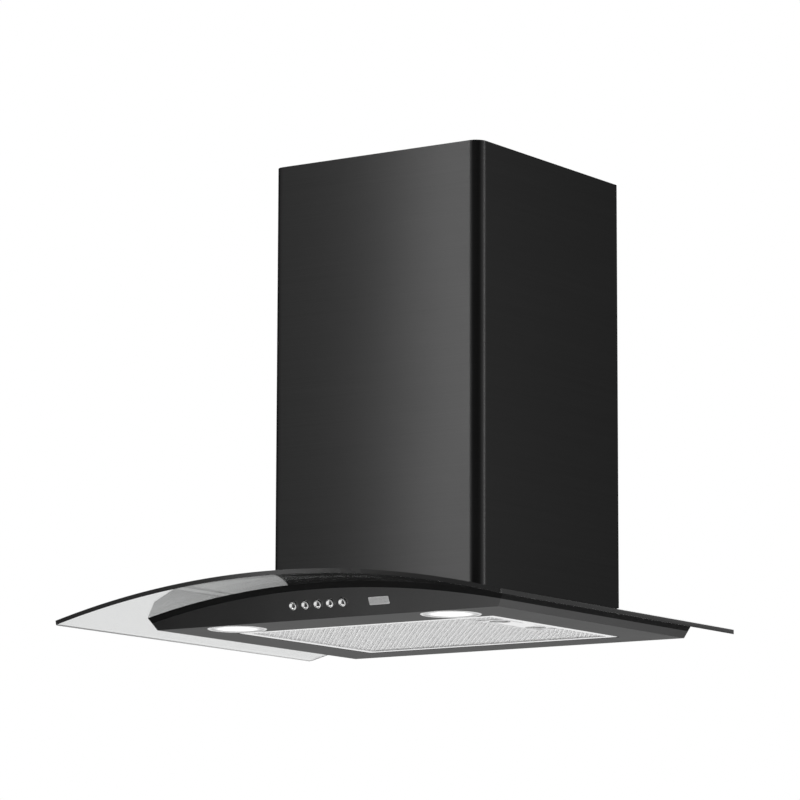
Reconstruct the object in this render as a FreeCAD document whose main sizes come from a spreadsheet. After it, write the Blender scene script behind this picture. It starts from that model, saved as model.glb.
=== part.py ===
import FreeCAD, Part
import math
import os
import re
import Sketcher
from FreeCAD import Placement, Rotation, Vector

# Curved glass range hood for a wall, 600 mm wide.
# Frame: X to the right, Y into the wall, Z up. The wall plane is Y = 0, the flat underside of
# the body is Z = 0, and X = 0 is the middle. Lengths are millimetres, angles are degrees.

SIZES = {
    # Glass canopy: an arched sheet, highest along its middle.
    "glass_width": 600,
    "glass_depth": 500,
    "glass_thickness": 5,
    "glass_rise": 38,
    "glass_edge_height": 5.7,
    "glass_front_corner": 6,
    "glass_rear_corner": 3,
    "glass_notch_gap": 4,
    "glass_notch_corner": 10,
    # Body: a shallow tray with leaning sides and front, its top bent to the arch.
    "body_width": 464,
    "body_depth": 398,
    "side_lean": 34.4,
    "front_lean": 24,
    "sheet_thickness": 1,
    "pan_lip_height": 8,
    "seal_thickness": 7,
    "seal_width": 9,
    "air_opening_margin": 13,
    # Fixing of the glass: four screws with washers, bushes and nuts.
    "glass_fixing_angle": 6.15,
    "glass_fixing_front": 236,
    "glass_fixing_back": 62,
    "glass_hole_diameter": 10,
    "bush_diameter": 8.6,
    "bush_foot_diameter": 16,
    "bush_play": 0.1,
    "washer_diameter": 16,
    "washer_thickness": 1.5,
    "screw_diameter": 4,
    "screw_head_diameter": 8,
    "screw_head_height": 2.6,
    "screw_length": 20,
    "screw_hole_play": 0.6,
    "nut_diameter": 8.5,
    "nut_height": 3.2,
    # Chimney covers, one sliding inside the other.
    "chimney_width": 288,
    "chimney_depth": 300,
    "chimney_top": 548,
    "chimney_bend": 13.5,
    "chimney_flange": 15,
    "chimney_foot_gap": 0.5,
    "chimney_nesting_gap": 1.2,
    "chimney_upper_length": 400,
    "chimney_upper_drop": 1.5,
    "louvre_count": 6,
    "louvre_length": 90,
    "louvre_height": 4,
    "louvre_pitch": 10,
    "louvre_top_margin": 30,
    "cover_bracket_play": 0.2,
    "cover_bracket_size": 26,
    "cover_bracket_back": 165,
    # Blower box and the plate it hangs by.
    "box_width": 220,
    "box_depth": 236,
    "box_back": 30,
    "box_top": 300,
    "box_flange": 12,
    "box_screw_inset": 60,
    "hanger_thickness": 2,
    "hanger_bottom": 48,
    "hanger_top": 296,
    "hanger_reach": 62,
    "wall_hole_diameter": 6.5,
    "wall_hole_spacing": 180,
    "wall_hole_rise": 200,
    "wall_hole_low": 72,
    # Blower: scroll casing, impeller and motor on one axis along X.
    "blower_back": 170,
    "blower_height": 165,
    "scroll_width": 96,
    "scroll_wall": 2,
    "scroll_radius": 84,
    "scroll_growth": 9,
    "outlet_depth": 100,
    "inlet_diameter": 118,
    "inlet_ring_width": 9,
    "inlet_ring_thickness": 3,
    "impeller_diameter": 144,
    "impeller_width": 76,
    "blade_depth": 13,
    "blade_thickness": 1.2,
    "blade_lap": 0.8,
    "blade_sweep": 6,
    "blade_bow_radius": 16,
    "blade_count": 36,
    "impeller_disc": 2.4,
    "impeller_rim": 2.5,
    "hub_diameter": 22,
    "hub_length": 18,
    "shaft_diameter": 8,
    "shaft_play": 0.05,
    "shaft_seat": 30,
    "motor_diameter": 86,
    "motor_length": 58,
    "motor_gap": 4,
    "motor_ring_width": 4,
    "bracket_arm_width": 12,
    # Outlet collar with two flaps on one pin.
    "collar_diameter": 148,
    "collar_wall": 2,
    "collar_height": 60,
    "collar_flange": 4,
    "collar_pin_height": 26,
    "flap_play": 0.8,
    "flap_thickness": 1,
    "flap_root_gap": 4,
    "flap_knuckle_diameter": 6,
    "flap_knuckle_length": 18,
    "flap_knuckle_gap": 2,
    "flap_ledge": 3,
    "pin_diameter": 3,
    "pin_play": 0.06,
    # Electrical parts on the blower box.
    "capacitor_diameter": 34,
    "capacitor_length": 58,
    "capacitor_start": 18,
    "tag_spacing": 13.6,
    "tag_width": 6,
    "tag_thickness": 0.8,
    "tag_length": 7,
    "clamp_thickness": 1.2,
    "clamp_width": 12,
    "clamp_foot": 12,
    "terminal_length": 70,
    "terminal_depth": 44,
    "terminal_height": 26,
    "terminal_wall": 2,
    "terminal_corner": 3,
    "terminal_offset": 60,
    "parts_front_margin": 5,
    "gland_diameter": 16,
    "gland_neck_diameter": 12,
    "gland_play": 0.2,
    "gland_bore": 8,
    "gland_length": 18,
    # Grease filter and its latch.
    "filter_opening_width": 352,
    "filter_opening_depth": 272,
    "filter_opening_back": 50,
    "filter_gap": 1.5,
    "filter_recess": 0.3,
    "filter_height": 9,
    "filter_rim": 10,
    "filter_skin": 1,
    "filter_groove": 3,
    "filter_corner": 4,
    "mesh_thickness": 0.5,
    "mesh_play": 0.4,
    "mesh_bar": 3,
    "mesh_columns": 18,
    "mesh_rows": 14,
    "mesh_corner_columns": 2,
    "mesh_corner_rows": 4,
    "tab_length": 4.5,
    "tab_width": 20,
    "tab_spacing": 140,
    "tab_thickness": 1.2,
    "tab_play": 0.1,
    "latch_back": 220,
    "latch_length": 110,
    "latch_width": 28,
    "latch_thickness": 1.6,
    "latch_guide": 2,
    "latch_play": 0.2,
    "latch_travel": 4.5,
    "latch_wall": 2,
    "finger_hole_diameter": 24,
    "finger_hole_spacing": 75,
    "tongue_width": 24,
    # Lamps.
    "lamp_spacing": 292,
    "lamp_back": 361,
    "lamp_hole_diameter": 64,
    "lamp_bezel_diameter": 68,
    "lamp_bezel_thickness": 0.8,
    "lamp_sleeve_height": 12,
    "lamp_sleeve_wall": 1.3,
    "lamp_play": 0.2,
    "lens_thickness": 2,
    "lens_recess": 0.3,
    "lamp_body_height": 14,
    # Push buttons, their switch bank and the blank plate beside them.
    "button_count": 5,
    "button_diameter": 9.6,
    "button_pitch": 16.8,
    "button_centre": -2,
    "button_up_fascia": 17.5,
    "button_proud": 3,
    "button_travel": 2.5,
    "button_inside": 4,
    "button_edge": 1.2,
    "button_play": 0.3,
    "stem_diameter": 4,
    "stem_length": 8,
    "switch_bank_margin": 12,
    "switch_bank_height": 15,
    "switch_bank_depth": 14.5,
    "switch_bank_corner": 1.5,
    "button_end_gap": 2.5,
    "plate_width": 26.6,
    "plate_height": 9,
    "plate_thickness": 0.8,
    "plate_corner": 1,
    "plate_centre": 80,
    "plate_up_fascia": 16.5,
}

ALIAS = re.compile(r"\b(" + "|".join(SIZES) + r")\b")
BLANK_HEIGHT = "(glass_edge_height + glass_rise + 20)"
WASTE = "(1.2 * glass_depth)"
OVERRUN = "2"

# Arch: three cylinders about one line that runs along Y below the hood.
ARCH = "(((glass_width / 2)^2 + glass_rise^2) / (2 * glass_rise))"
ARCH_Z = f"(glass_edge_height + glass_rise - {ARCH})"
GLASS_UNDER = f"({ARCH} - glass_thickness)"
BODY_TOP = f"({GLASS_UNDER} - seal_thickness)"
PLATE_UNDER = f"({BODY_TOP} - sheet_thickness)"

# Body: how far a leaning panel runs out per millimetre of height, and its level thickness.
SIDE_RUN = "tan(side_lean)"
FRONT_RUN = "tan(front_lean)"
SIDE_WALL = "(sheet_thickness / cos(side_lean))"
FRONT_WALL = "(sheet_thickness / cos(front_lean))"
BODY_HALF = "(body_width / 2)"

# Blower box and what stands on it.
BOX_HALF = "(box_width / 2)"
BOX_FRONT = "(box_back + box_depth)"
COLLAR_RADIUS = "(collar_diameter / 2)"
COLLAR_BORE = f"({COLLAR_RADIUS} - collar_wall)"
AXIS_Y = "(0 - blower_back)"
PIN_Z = "(box_top + collar_pin_height)"
FLAP_RADIUS = f"({COLLAR_BORE} - flap_play)"

# Scroll: three quarter turns whose centres step round a small square.
SCROLL_Y1 = f"({AXIS_Y} - scroll_growth / 2)"
SCROLL_Y2 = f"({AXIS_Y} + scroll_growth / 2)"
SCROLL_Z1 = "(blower_height - scroll_growth / 2)"
SCROLL_Z2 = "(blower_height + scroll_growth / 2)"
SCROLL_BACK = f"({SCROLL_Y2} + scroll_radius + 2 * scroll_growth)"
OUTLET_FRONT = f"({SCROLL_BACK} - outlet_depth)"
OUTLET_MIDDLE = f"({SCROLL_BACK} - outlet_depth / 2)"
SCROLL_TOP = "(box_top - sheet_thickness)"
MOTOR_START = "(hub_length / 2 + motor_gap)"

# Filter, measured from the middle of its opening.
FILTER_HALF = "(filter_opening_width / 2 - filter_gap)"
FILTER_FRONT = "(0 - filter_opening_back - filter_opening_depth + filter_gap)"
FILTER_BACK = "(0 - filter_opening_back - filter_gap)"
RIM_HALF = f"({FILTER_HALF} - filter_rim)"
GROOVE_HALF = f"({RIM_HALF} + filter_groove)"
MESH_HALF = f"({GROOVE_HALF} - mesh_play)"
MESH_FRONT = f"({FILTER_FRONT} + filter_rim - filter_groove + mesh_play)"
MESH_BACK = f"({FILTER_BACK} - filter_rim + filter_groove - mesh_play)"
GROOVE_LOW = "(filter_recess + filter_skin)"
GROOVE_HIGH = "(filter_recess + filter_height - filter_skin)"
TAB_LOW = "(sheet_thickness + tab_play)"
CUP_RIGHT = f"({RIM_HALF} - latch_play)"
SLIDER_RIGHT = f"({CUP_RIGHT} - latch_wall - latch_play - latch_travel)"
SLIDER_LEFT = f"({SLIDER_RIGHT} - latch_width)"
CUP_LEFT = f"({SLIDER_LEFT} - latch_play - latch_wall)"
LATCH_FRONT = "(0 - latch_back - latch_length / 2)"
LATCH_BACK = "(0 - latch_back + latch_length / 2)"
CUP_FRONT = f"({LATCH_FRONT} - latch_guide - latch_wall)"
CUP_BACK = f"({LATCH_BACK} + latch_guide + latch_wall)"
SLIDER_LOW = "(sheet_thickness + tab_play)"
SLIDER_HIGH = f"({SLIDER_LOW} + latch_thickness)"

doc = FreeCAD.newDocument("RangeHood")
sheet = doc.addObject("Spreadsheet::Sheet", "Sizes")
for row, (alias, size) in enumerate(SIZES.items(), start=1):
    sheet.set(f"A{row}", alias)
    sheet.set(f"B{row}", str(size))
    sheet.setAlias(f"B{row}", alias)
doc.recompute()

parts = {}


def linked(text):
    """The same formula with each size named as the sheet's cell."""
    return ALIAS.sub(r"Sizes.\1", str(text))


def value(text):
    """What a formula on the sizes comes to."""
    return float(sheet.evalExpression(str(text)))


def count(text):
    """A size that is a whole number."""
    return int(round(value(text)))


def minus(text):
    """A formula with its sign turned."""
    return f"(0 - {text})"


def arch_height(radius, x):
    """Height of an arch of this radius at a distance x from the middle."""
    return f"({ARCH_Z} + sqrt({radius}^2 - ({x})^2))"


def keep(label, item):
    """Takes a finished object as the sub-part of this name."""
    item.Label = label
    parts[label] = item
    return item


def new_body(name):
    """An empty body."""
    return doc.addObject("PartDesign::Body", name)


def plane_of(body, role):
    """One of a body's own origin planes."""
    for feature in body.Origin.OriginFeatures:
        if feature.Role == role:
            return feature
    raise ValueError(role)


def fix(sketch, kind, geometry, point, formula):
    """Binds one coordinate of a sketch point to a formula."""
    number = sketch.addConstraint(
        Sketcher.Constraint(kind, -1, 1, geometry, point, value(formula)))
    name = f"{kind}{geometry}_{point}"
    sketch.renameConstraint(number, name)
    sketch.setExpression(f".Constraints.{name}", linked(formula))


def fix_radius(sketch, geometry, formula):
    """Binds the radius of an arc or a circle to a formula."""
    number = sketch.addConstraint(Sketcher.Constraint("Radius", geometry, value(formula)))
    name = f"Radius{geometry}"
    sketch.renameConstraint(number, name)
    sketch.setExpression(f".Constraints.{name}", linked(formula))


def arc_between(start, end, radius, side):
    """The shorter arc from start to end, with its centre left or right of the way."""
    middle = (start + end) * 0.5
    chord = end - start
    reach = math.sqrt(max(radius ** 2 - (chord.Length / 2) ** 2, 0.0))
    left = Vector(-chord.y, chord.x, 0).normalize()
    centre = middle + left * (reach if side == "left" else -reach)
    first, last = (start, end) if side == "left" else (end, start)
    first_angle = math.atan2(first.y - centre.y, first.x - centre.x)
    last_angle = math.atan2(last.y - centre.y, last.x - centre.x)
    circle = Part.Circle(centre, Vector(0, 0, 1), radius)
    return Part.ArcOfCircle(circle, first_angle, last_angle)


def add_loop(sketch, corners):
    """Draws one closed outline. A corner is (x, y), or (x, y, side, radius) before an arc."""
    points = [Vector(value(corner[0]), value(corner[1]), 0) for corner in corners]
    ends = []
    for number, corner in enumerate(corners):
        start = points[number]
        end = points[(number + 1) % len(points)]
        if len(corner) == 2:
            geometry = sketch.addGeometry(Part.LineSegment(start, end), False)
            ends.append((geometry, 1, 2))
            continue
        side, radius = corner[2], corner[3]
        geometry = sketch.addGeometry(arc_between(start, end, value(radius), side), False)
        ends.append((geometry, 1, 2) if side == "left" else (geometry, 2, 1))
    for number, corner in enumerate(corners):
        geometry, start_point, end_point = ends[number]
        following, next_point, _ = ends[(number + 1) % len(ends)]
        sketch.addConstraint(
            Sketcher.Constraint("Coincident", geometry, end_point, following, next_point))
        fix(sketch, "DistanceX", geometry, start_point, corner[0])
        fix(sketch, "DistanceY", geometry, start_point, corner[1])
        if len(corner) > 2:
            fix_radius(sketch, geometry, corner[3])


def add_circle(sketch, x, y, radius):
    """Draws one bound circle."""
    circle = Part.Circle(Vector(value(x), value(y), 0), Vector(0, 0, 1), value(radius))
    geometry = sketch.addGeometry(circle, False)
    fix_radius(sketch, geometry, radius)
    fix(sketch, "DistanceX", geometry, 3, x)
    fix(sketch, "DistanceY", geometry, 3, y)


def new_sketch(body, name, plane, loops, start="0"):
    """A sketch on an origin plane, moved along the plane's normal by start."""
    sketch = body.newObject("Sketcher::SketchObject", name)
    sketch.AttachmentSupport = (plane_of(body, plane), [""])
    sketch.MapMode = "FlatFace"
    sketch.setExpression("AttachmentOffset.Base.z", linked(start))
    for loop in loops:
        if loop[0] == "circle":
            add_circle(sketch, *loop[1:])
        else:
            add_loop(sketch, loop)
    return sketch


def pad(body, name, plane, loops, length, start="0"):
    """Adds a block over the loops, from start along the plane's normal."""
    sketch = new_sketch(body, name + "Sketch", plane, loops, start)
    feature = body.newObject("PartDesign::Pad", name)
    feature.Profile = sketch
    feature.Type = "Length"
    feature.setExpression("Length", linked(length))
    doc.recompute()
    return feature


def cut(body, name, plane, loops, length=None, start="0"):
    """Takes away the loops, from start along the plane's normal, or right through."""
    before = body.Shape.Volume
    sketch = new_sketch(body, name + "Sketch", plane, loops, start)
    feature = body.newObject("PartDesign::Pocket", name)
    feature.Profile = sketch
    if length is None:
        feature.Type = "ThroughAll"
        feature.Midplane = True
    else:
        feature.Type = "Length"
        feature.Reversed = True
        feature.setExpression("Length", linked(length))
    doc.recompute()
    if body.Shape.Volume >= before - 1e-6:
        raise ValueError(f"{name} takes nothing away")
    return feature


def box_loop(left, low, right, high):
    """A rectangle."""
    return [(left, low), (right, low), (right, high), (left, high)]


def round_loop(left, low, right, high, radius):
    """A rectangle with round corners."""
    return [
        (f"{left} + {radius}", low),
        (f"{right} - {radius}", low, "left", radius),
        (right, f"{low} + {radius}"),
        (right, f"{high} - {radius}", "left", radius),
        (f"{right} - {radius}", high),
        (f"{left} + {radius}", high, "left", radius),
        (left, f"{high} - {radius}"),
        (left, f"{low} + {radius}", "left", radius),
    ]


def above_arch(body, name, radius):
    """Takes away all that stands higher than an arch."""
    edge = "(glass_width / 2)"
    top = f"({BLANK_HEIGHT} + box_top + chimney_top)"
    cut(body, name, "XZ_Plane", [[
        (edge, arch_height(radius, edge), "left", radius),
        (minus(edge), arch_height(radius, edge)),
        (minus(edge), top),
        (edge, top),
    ]])


def below_arch(body, name, radius):
    """Takes away all that lies lower than an arch."""
    edge = "(glass_width / 2)"
    cut(body, name, "XZ_Plane", [[
        (edge, arch_height(radius, edge), "left", radius),
        (minus(edge), arch_height(radius, edge)),
        (minus(edge), minus(BLANK_HEIGHT)),
        (edge, minus(BLANK_HEIGHT)),
    ]])


def body_elevation(inset="0"):
    """The body seen from the front, blank at the top, its leaning sides moved in by inset."""
    foot = f"({BODY_HALF} - {inset})"
    head = f"({BODY_HALF} - {inset} + {SIDE_RUN} * {BLANK_HEIGHT})"
    return [(minus(foot), "0"), (foot, "0"), (head, BLANK_HEIGHT), (minus(head), BLANK_HEIGHT)]


def front_line(inset, height):
    """How far forward the leaning front stands at a height, moved back by inset."""
    return f"({inset} - body_depth - {FRONT_RUN} * {height})"


def trim_front(body, name, inset="0"):
    """Takes away what stands in front of the leaning front, moved back by inset."""
    cut(body, name, "YZ_Plane", [[
        (front_line(inset, minus(OVERRUN)), minus(OVERRUN)),
        (front_line(inset, f"({BLANK_HEIGHT} + {OVERRUN})"), f"{BLANK_HEIGHT} + {OVERRUN}"),
        ("0 - 2 * glass_depth", f"{BLANK_HEIGHT} + {OVERRUN}"),
        ("0 - 2 * glass_depth", minus(OVERRUN)),
    ]])


def ring_loops(x, y, outer, inner):
    """Two circles about one centre."""
    return [("circle", x, y, outer), ("circle", x, y, inner)]


def cylinder(name, radius, height):
    """A bound cylinder along its own Z."""
    item = doc.addObject("Part::Cylinder", name)
    item.setExpression("Radius", linked(radius))
    item.setExpression("Height", linked(height))
    return item


def place(item, x, y, z, axis=None, angle="0"):
    """Binds an object's place and, where it is turned, its angle about an axis."""
    if axis is not None:
        item.Placement = Placement(Vector(), Rotation(Vector(*axis), value(angle) or 1.0))
        item.setExpression("Placement.Rotation.Angle", linked(angle))
    for direction, formula in zip("xyz", (x, y, z)):
        item.setExpression(f"Placement.Base.{direction}", linked(formula))
    return item


def joined(name, items):
    """Fuses overlapping pieces; pieces that stand apart stay separate solids."""
    item = doc.addObject("Part::MultiFuse", name)
    item.Shapes = items
    return item


def less(name, base, tool):
    """One object less another."""
    item = doc.addObject("Part::Cut", name)
    item.Base = base
    item.Tool = tool
    return item


def on_arch(item, radius, angle, back):
    """Stands an object square on an arch, at an angle from the middle."""
    return place(
        item, f"{radius} * sin({angle})", minus(back), f"{ARCH_Z} + {radius} * cos({angle})",
        (0, 1, 0), angle)


def glass_fixings():
    """The four fixing places of the glass, as an angle on the arch and a distance back."""
    for angle in ("(0 - glass_fixing_angle)", "glass_fixing_angle"):
        for back in ("glass_fixing_front", "glass_fixing_back"):
            yield angle, back


def box_fixings():
    """The four places where the blower box is screwed down."""
    reach = f"({BOX_HALF} - sheet_thickness - box_flange / 2)"
    angle = f"(asin({reach} / {BODY_TOP}) / 1 deg)"
    for sign in (minus(angle), angle):
        for back in ("(box_back + box_screw_inset)", f"({BOX_FRONT} - box_screw_inset)"):
            yield sign, back


def arch_circles(places, diameter, radius=BODY_TOP):
    """Upright holes where the fixing places cross an arch."""
    return [
        ("circle", f"{radius} * sin({angle})", minus(back), f"({diameter}) / 2")
        for angle, back in places]


def make_underside_pan():
    """Flat bottom sheet with the filter opening, its two lips and the lamp holes."""
    body = new_body("UndersidePan")
    half = f"({BODY_HALF} - {SIDE_WALL})"
    opening = "(filter_opening_width / 2)"
    back = "(0 - filter_opening_back)"
    front = "(0 - filter_opening_back - filter_opening_depth)"
    loops = [
        box_loop(minus(half), f"{FRONT_WALL} - body_depth", half, "0 - sheet_thickness"),
        box_loop(minus(opening), front, opening, back),
    ]
    for side in ("(0 - lamp_spacing / 2)", "(lamp_spacing / 2)"):
        loops.append(("circle", side, "0 - lamp_back", "lamp_hole_diameter / 2"))
    pad(body, "PanSheet", "XY_Plane", loops, "sheet_thickness")
    lips = [
        box_loop(minus(opening), f"{front} - sheet_thickness", opening, front),
        box_loop(minus(opening), back, opening, f"{back} + sheet_thickness"),
    ]
    pad(body, "PanLips", "XY_Plane", lips, "pan_lip_height")
    keep("underside_pan", body)


def make_front_fascia():
    """Leaning front panel, its top cut to the arch, with the button holes."""
    body = new_body("FasciaBlank")
    pad(body, "FasciaBlock", "XZ_Plane", [body_elevation()], WASTE)
    trim_front(body, "FasciaFace")
    cut(body, "FasciaHollow", "YZ_Plane", [[
        (front_line(FRONT_WALL, minus(OVERRUN)), minus(OVERRUN)),
        (OVERRUN, minus(OVERRUN)),
        (OVERRUN, f"{BLANK_HEIGHT} + {OVERRUN}"),
        (front_line(FRONT_WALL, f"({BLANK_HEIGHT} + {OVERRUN})"), f"{BLANK_HEIGHT} + {OVERRUN}"),
    ]])
    above_arch(body, "FasciaTop", BODY_TOP)
    holes = []
    depth = "(button_inside + button_proud)"
    hole_y = f"{depth} * cos(front_lean) - body_depth - button_up_fascia * sin(front_lean)"
    hole_z = f"button_up_fascia * cos(front_lean) + {depth} * sin(front_lean)"
    for number in range(count("button_count")):
        hole = cylinder(f"ButtonHole{number + 1}", "button_diameter / 2 + button_play", f"2 * {depth}")
        place(hole, button_place(number), hole_y, hole_z, (1, 0, 0), "front_lean + 90")
        holes.append(hole)
    keep("front_fascia", less("FrontFascia", body, joined("ButtonHoles", holes)))


def make_side_panels():
    """Leaning side panels between the fascia and the rear panel."""
    for label, sign in (("left_side_panel", "(0 - 1)"), ("right_side_panel", "1")):
        body = new_body(label.title().replace("_", ""))
        foot = f"({sign} * {BODY_HALF})"
        head = f"({sign} * ({BODY_HALF} + {SIDE_RUN} * {BLANK_HEIGHT}))"
        loop = [
            (foot, "0"),
            (head, BLANK_HEIGHT),
            (f"{head} - {sign} * {SIDE_WALL}", BLANK_HEIGHT),
            (f"{foot} - {sign} * {SIDE_WALL}", "0"),
        ]
        pad(body, label + "Block", "XZ_Plane", [loop], WASTE, start="sheet_thickness")
        trim_front(body, label + "Front", FRONT_WALL)
        above_arch(body, label + "Top", BODY_TOP)
        keep(label, body)


def make_rear_panel():
    """Upright panel against the wall."""
    body = new_body("RearPanel")
    pad(body, "RearSheet", "XZ_Plane", [body_elevation()], "sheet_thickness")
    above_arch(body, "RearTop", BODY_TOP)
    keep("rear_panel", body)


def make_top_plate():
    """Arched plate inside the four walls, open under the blower box."""
    body = new_body("TopPlate")
    pad(body, "TopBlock", "XZ_Plane", [body_elevation(SIDE_WALL)], WASTE, start="sheet_thickness")
    trim_front(body, "TopFront", FRONT_WALL)
    above_arch(body, "TopArch", BODY_TOP)
    below_arch(body, "TopHollow", PLATE_UNDER)
    half = f"({BOX_HALF} - air_opening_margin)"
    opening = box_loop(
        minus(half), f"air_opening_margin - {BOX_FRONT}", half, "0 - box_back - air_opening_margin")
    holes = arch_circles(glass_fixings(), "screw_diameter + screw_hole_play")
    holes += arch_circles(box_fixings(), "screw_diameter + screw_hole_play")
    cut(body, "TopOpenings", "XY_Plane", [opening] + holes)
    keep("top_plate", body)


def make_glass_seal():
    """Black strip round the top of the body, under the glass."""
    body = new_body("GlassSeal")
    pad(body, "SealBlock", "XZ_Plane", [body_elevation()], WASTE)
    trim_front(body, "SealFront")
    above_arch(body, "SealTop", GLASS_UNDER)
    below_arch(body, "SealFoot", BODY_TOP)
    edge = arch_height(BODY_TOP, BODY_HALF)
    half = f"({BODY_HALF} + {SIDE_RUN} * {edge} - seal_width)"
    front = f"(seal_width - body_depth - {FRONT_RUN} * {edge})"
    cut(body, "SealInside", "XY_Plane", [box_loop(minus(half), front, half, "0 - seal_width")])
    keep("glass_seal", body)


def make_glass_canopy():
    """Arched glass, notched at the back round the blower box, with four fixing holes."""
    body = new_body("GlassCanopy")
    edge = "(glass_width / 2)"
    under = arch_height(GLASS_UNDER, edge)
    pad(body, "GlassSheet", "XZ_Plane", [[
        (edge, under, "left", GLASS_UNDER),
        (minus(edge), under),
        (minus(edge), "glass_edge_height", "right", ARCH),
        (edge, "glass_edge_height"),
    ]], "glass_depth")
    half = f"({BOX_HALF} + hanger_thickness + glass_notch_gap)"
    front = f"(0 - {BOX_FRONT} - glass_notch_gap)"
    radius = "glass_notch_corner"
    loops = [[
        (minus(half), OVERRUN),
        (minus(half), f"{front} + {radius}", "left", radius),
        (f"{minus(half)} + {radius}", front),
        (f"{half} - {radius}", front, "left", radius),
        (half, f"{front} + {radius}"),
        (half, OVERRUN),
    ]]
    middle = f"({ARCH} - glass_thickness / 2)"
    loops += arch_circles(glass_fixings(), "glass_hole_diameter", middle)
    for sign, turn in (("1", "right"), ("(0 - 1)", "left")):
        side = f"({sign} * {edge})"
        outside = f"({sign} * ({edge} + {OVERRUN}))"
        corner = f"({sign} * ({edge} - glass_rear_corner))"
        loops.append([
            (side, "0 - glass_rear_corner"),
            (outside, "0 - glass_rear_corner"),
            (outside, OVERRUN),
            (corner, OVERRUN),
            (corner, "0"),
        ])
        inner = f"({sign} * ({edge} - glass_front_corner))"
        loops.append([
            (side, "glass_front_corner - glass_depth", turn, "glass_front_corner"),
            (inner, "0 - glass_depth"),
            (inner, f"0 - glass_depth - {OVERRUN}"),
            (outside, f"0 - glass_depth - {OVERRUN}"),
            (outside, "glass_front_corner - glass_depth"),
        ])
    cut(body, "GlassCuts", "XY_Plane", loops)
    keep("glass_canopy", body)


def make_glass_fixings():
    """Bushes, washers, screws and nuts that hold the glass down."""
    feet, sleeves, bores = [], [], []
    washers, washer_holes = [], []
    screws, nuts, nut_holes = [], [], []
    for number, (angle, back) in enumerate(glass_fixings(), start=1):
        foot = cylinder(f"BushFoot{number}", "bush_foot_diameter / 2", "seal_thickness - bush_play")
        feet.append(on_arch(foot, BODY_TOP, angle, back))
        sleeve = cylinder(f"BushSleeve{number}", "bush_diameter / 2",
                          "seal_thickness + glass_thickness - bush_play")
        sleeves.append(on_arch(sleeve, BODY_TOP, angle, back))
        bore = cylinder(f"BushBore{number}", "screw_diameter / 2 + screw_hole_play / 2",
                        f"seal_thickness + glass_thickness + 2 * {OVERRUN}")
        bores.append(on_arch(bore, f"({BODY_TOP} - {OVERRUN})", angle, back))
        washer = cylinder(f"Washer{number}", "washer_diameter / 2", "washer_thickness")
        washers.append(on_arch(washer, ARCH, angle, back))
        hole = cylinder(f"WasherHole{number}", "screw_diameter / 2 + screw_hole_play / 2",
                        f"washer_thickness + 2 * {OVERRUN}")
        washer_holes.append(on_arch(hole, f"({ARCH} - {OVERRUN})", angle, back))
        seat = f"({ARCH} + washer_thickness)"
        head = cylinder(f"GlassScrewHead{number}", "screw_head_diameter / 2", "screw_head_height")
        screws.append(on_arch(head, seat, angle, back))
        shank = cylinder(f"GlassScrewShank{number}", "screw_diameter / 2", "screw_length")
        screws.append(on_arch(shank, f"({seat} - screw_length)", angle, back))
        nut_foot = f"({PLATE_UNDER} - bush_play - nut_height)"
        nut = cylinder(f"Nut{number}", "nut_diameter / 2", "nut_height")
        nuts.append(on_arch(nut, nut_foot, angle, back))
        hole = cylinder(f"NutHole{number}", "screw_diameter / 2", f"nut_height + 2 * {OVERRUN}")
        nut_holes.append(on_arch(hole, f"({nut_foot} - {OVERRUN})", angle, back))
    keep("glass_bushes", less("GlassBushes", joined("BushBlanks", feet + sleeves),
                              joined("BushBores", bores)))
    keep("glass_washers", less("GlassWashers", joined("WasherBlanks", washers),
                               joined("WasherHoles", washer_holes)))
    keep("glass_screws", joined("GlassScrews", screws))
    keep("glass_nuts", less("GlassNuts", joined("NutBlanks", nuts), joined("NutHoles", nut_holes)))


def chimney_loop(half, front, back, bend, wall, flange):
    """A cover bent round three sides, with a flange turned in at each rear edge."""
    inner = f"({half} - {wall})"
    turn = f"({half} - {bend})"
    flange_end = f"({half} - {flange})"
    front_in = f"({front} + {wall})"
    bend_y = f"({front} + {bend})"
    back_in = f"({back} - {wall})"
    small = f"({bend} - {wall})"
    return [
        (minus(flange_end), back),
        (minus(half), back),
        (minus(half), bend_y, "left", bend),
        (minus(turn), front),
        (turn, front, "left", bend),
        (half, bend_y),
        (half, back),
        (flange_end, back),
        (flange_end, back_in),
        (inner, back_in),
        (inner, bend_y, "right", small),
        (turn, front_in),
        (minus(turn), front_in, "right", small),
        (minus(inner), bend_y),
        (minus(inner), back_in),
        (minus(flange_end), back_in),
    ]


def make_chimney_covers():
    """The visible lower cover, and the upper cover that slides out of it."""
    lower = new_body("LowerChimneyCover")
    half = "(chimney_width / 2)"
    loop = chimney_loop(half, "(0 - chimney_depth)", "0", "chimney_bend", "sheet_thickness",
                        "chimney_flange")
    pad(lower, "LowerCoverSheet", "XY_Plane", [loop], "chimney_top")
    below_arch(lower, "LowerCoverFoot", f"({ARCH} + chimney_foot_gap)")
    keep("lower_chimney_cover", lower)
    upper = new_body("UpperChimneyCover")
    step = "(sheet_thickness + chimney_nesting_gap)"
    top = "(chimney_top - chimney_upper_drop)"
    loop = chimney_loop(f"({half} - {step})", f"({step} - chimney_depth)", f"(0 - {step})",
                        f"(chimney_bend - {step})", "sheet_thickness", "chimney_flange")
    pad(upper, "UpperCoverSheet", "XY_Plane", [loop], "chimney_upper_length",
        start=f"{top} - chimney_upper_length")
    slots = []
    for number in range(count("louvre_count")):
        low = f"({top} - louvre_top_margin - {number} * louvre_pitch)"
        slots.append(box_loop(
            "(0 - chimney_depth / 2 - louvre_length / 2)", low,
            "(louvre_length / 2 - chimney_depth / 2)", f"{low} + louvre_height"))
    cut(upper, "UpperCoverLouvres", "YZ_Plane", slots)
    keep("upper_chimney_cover", upper)


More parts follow.
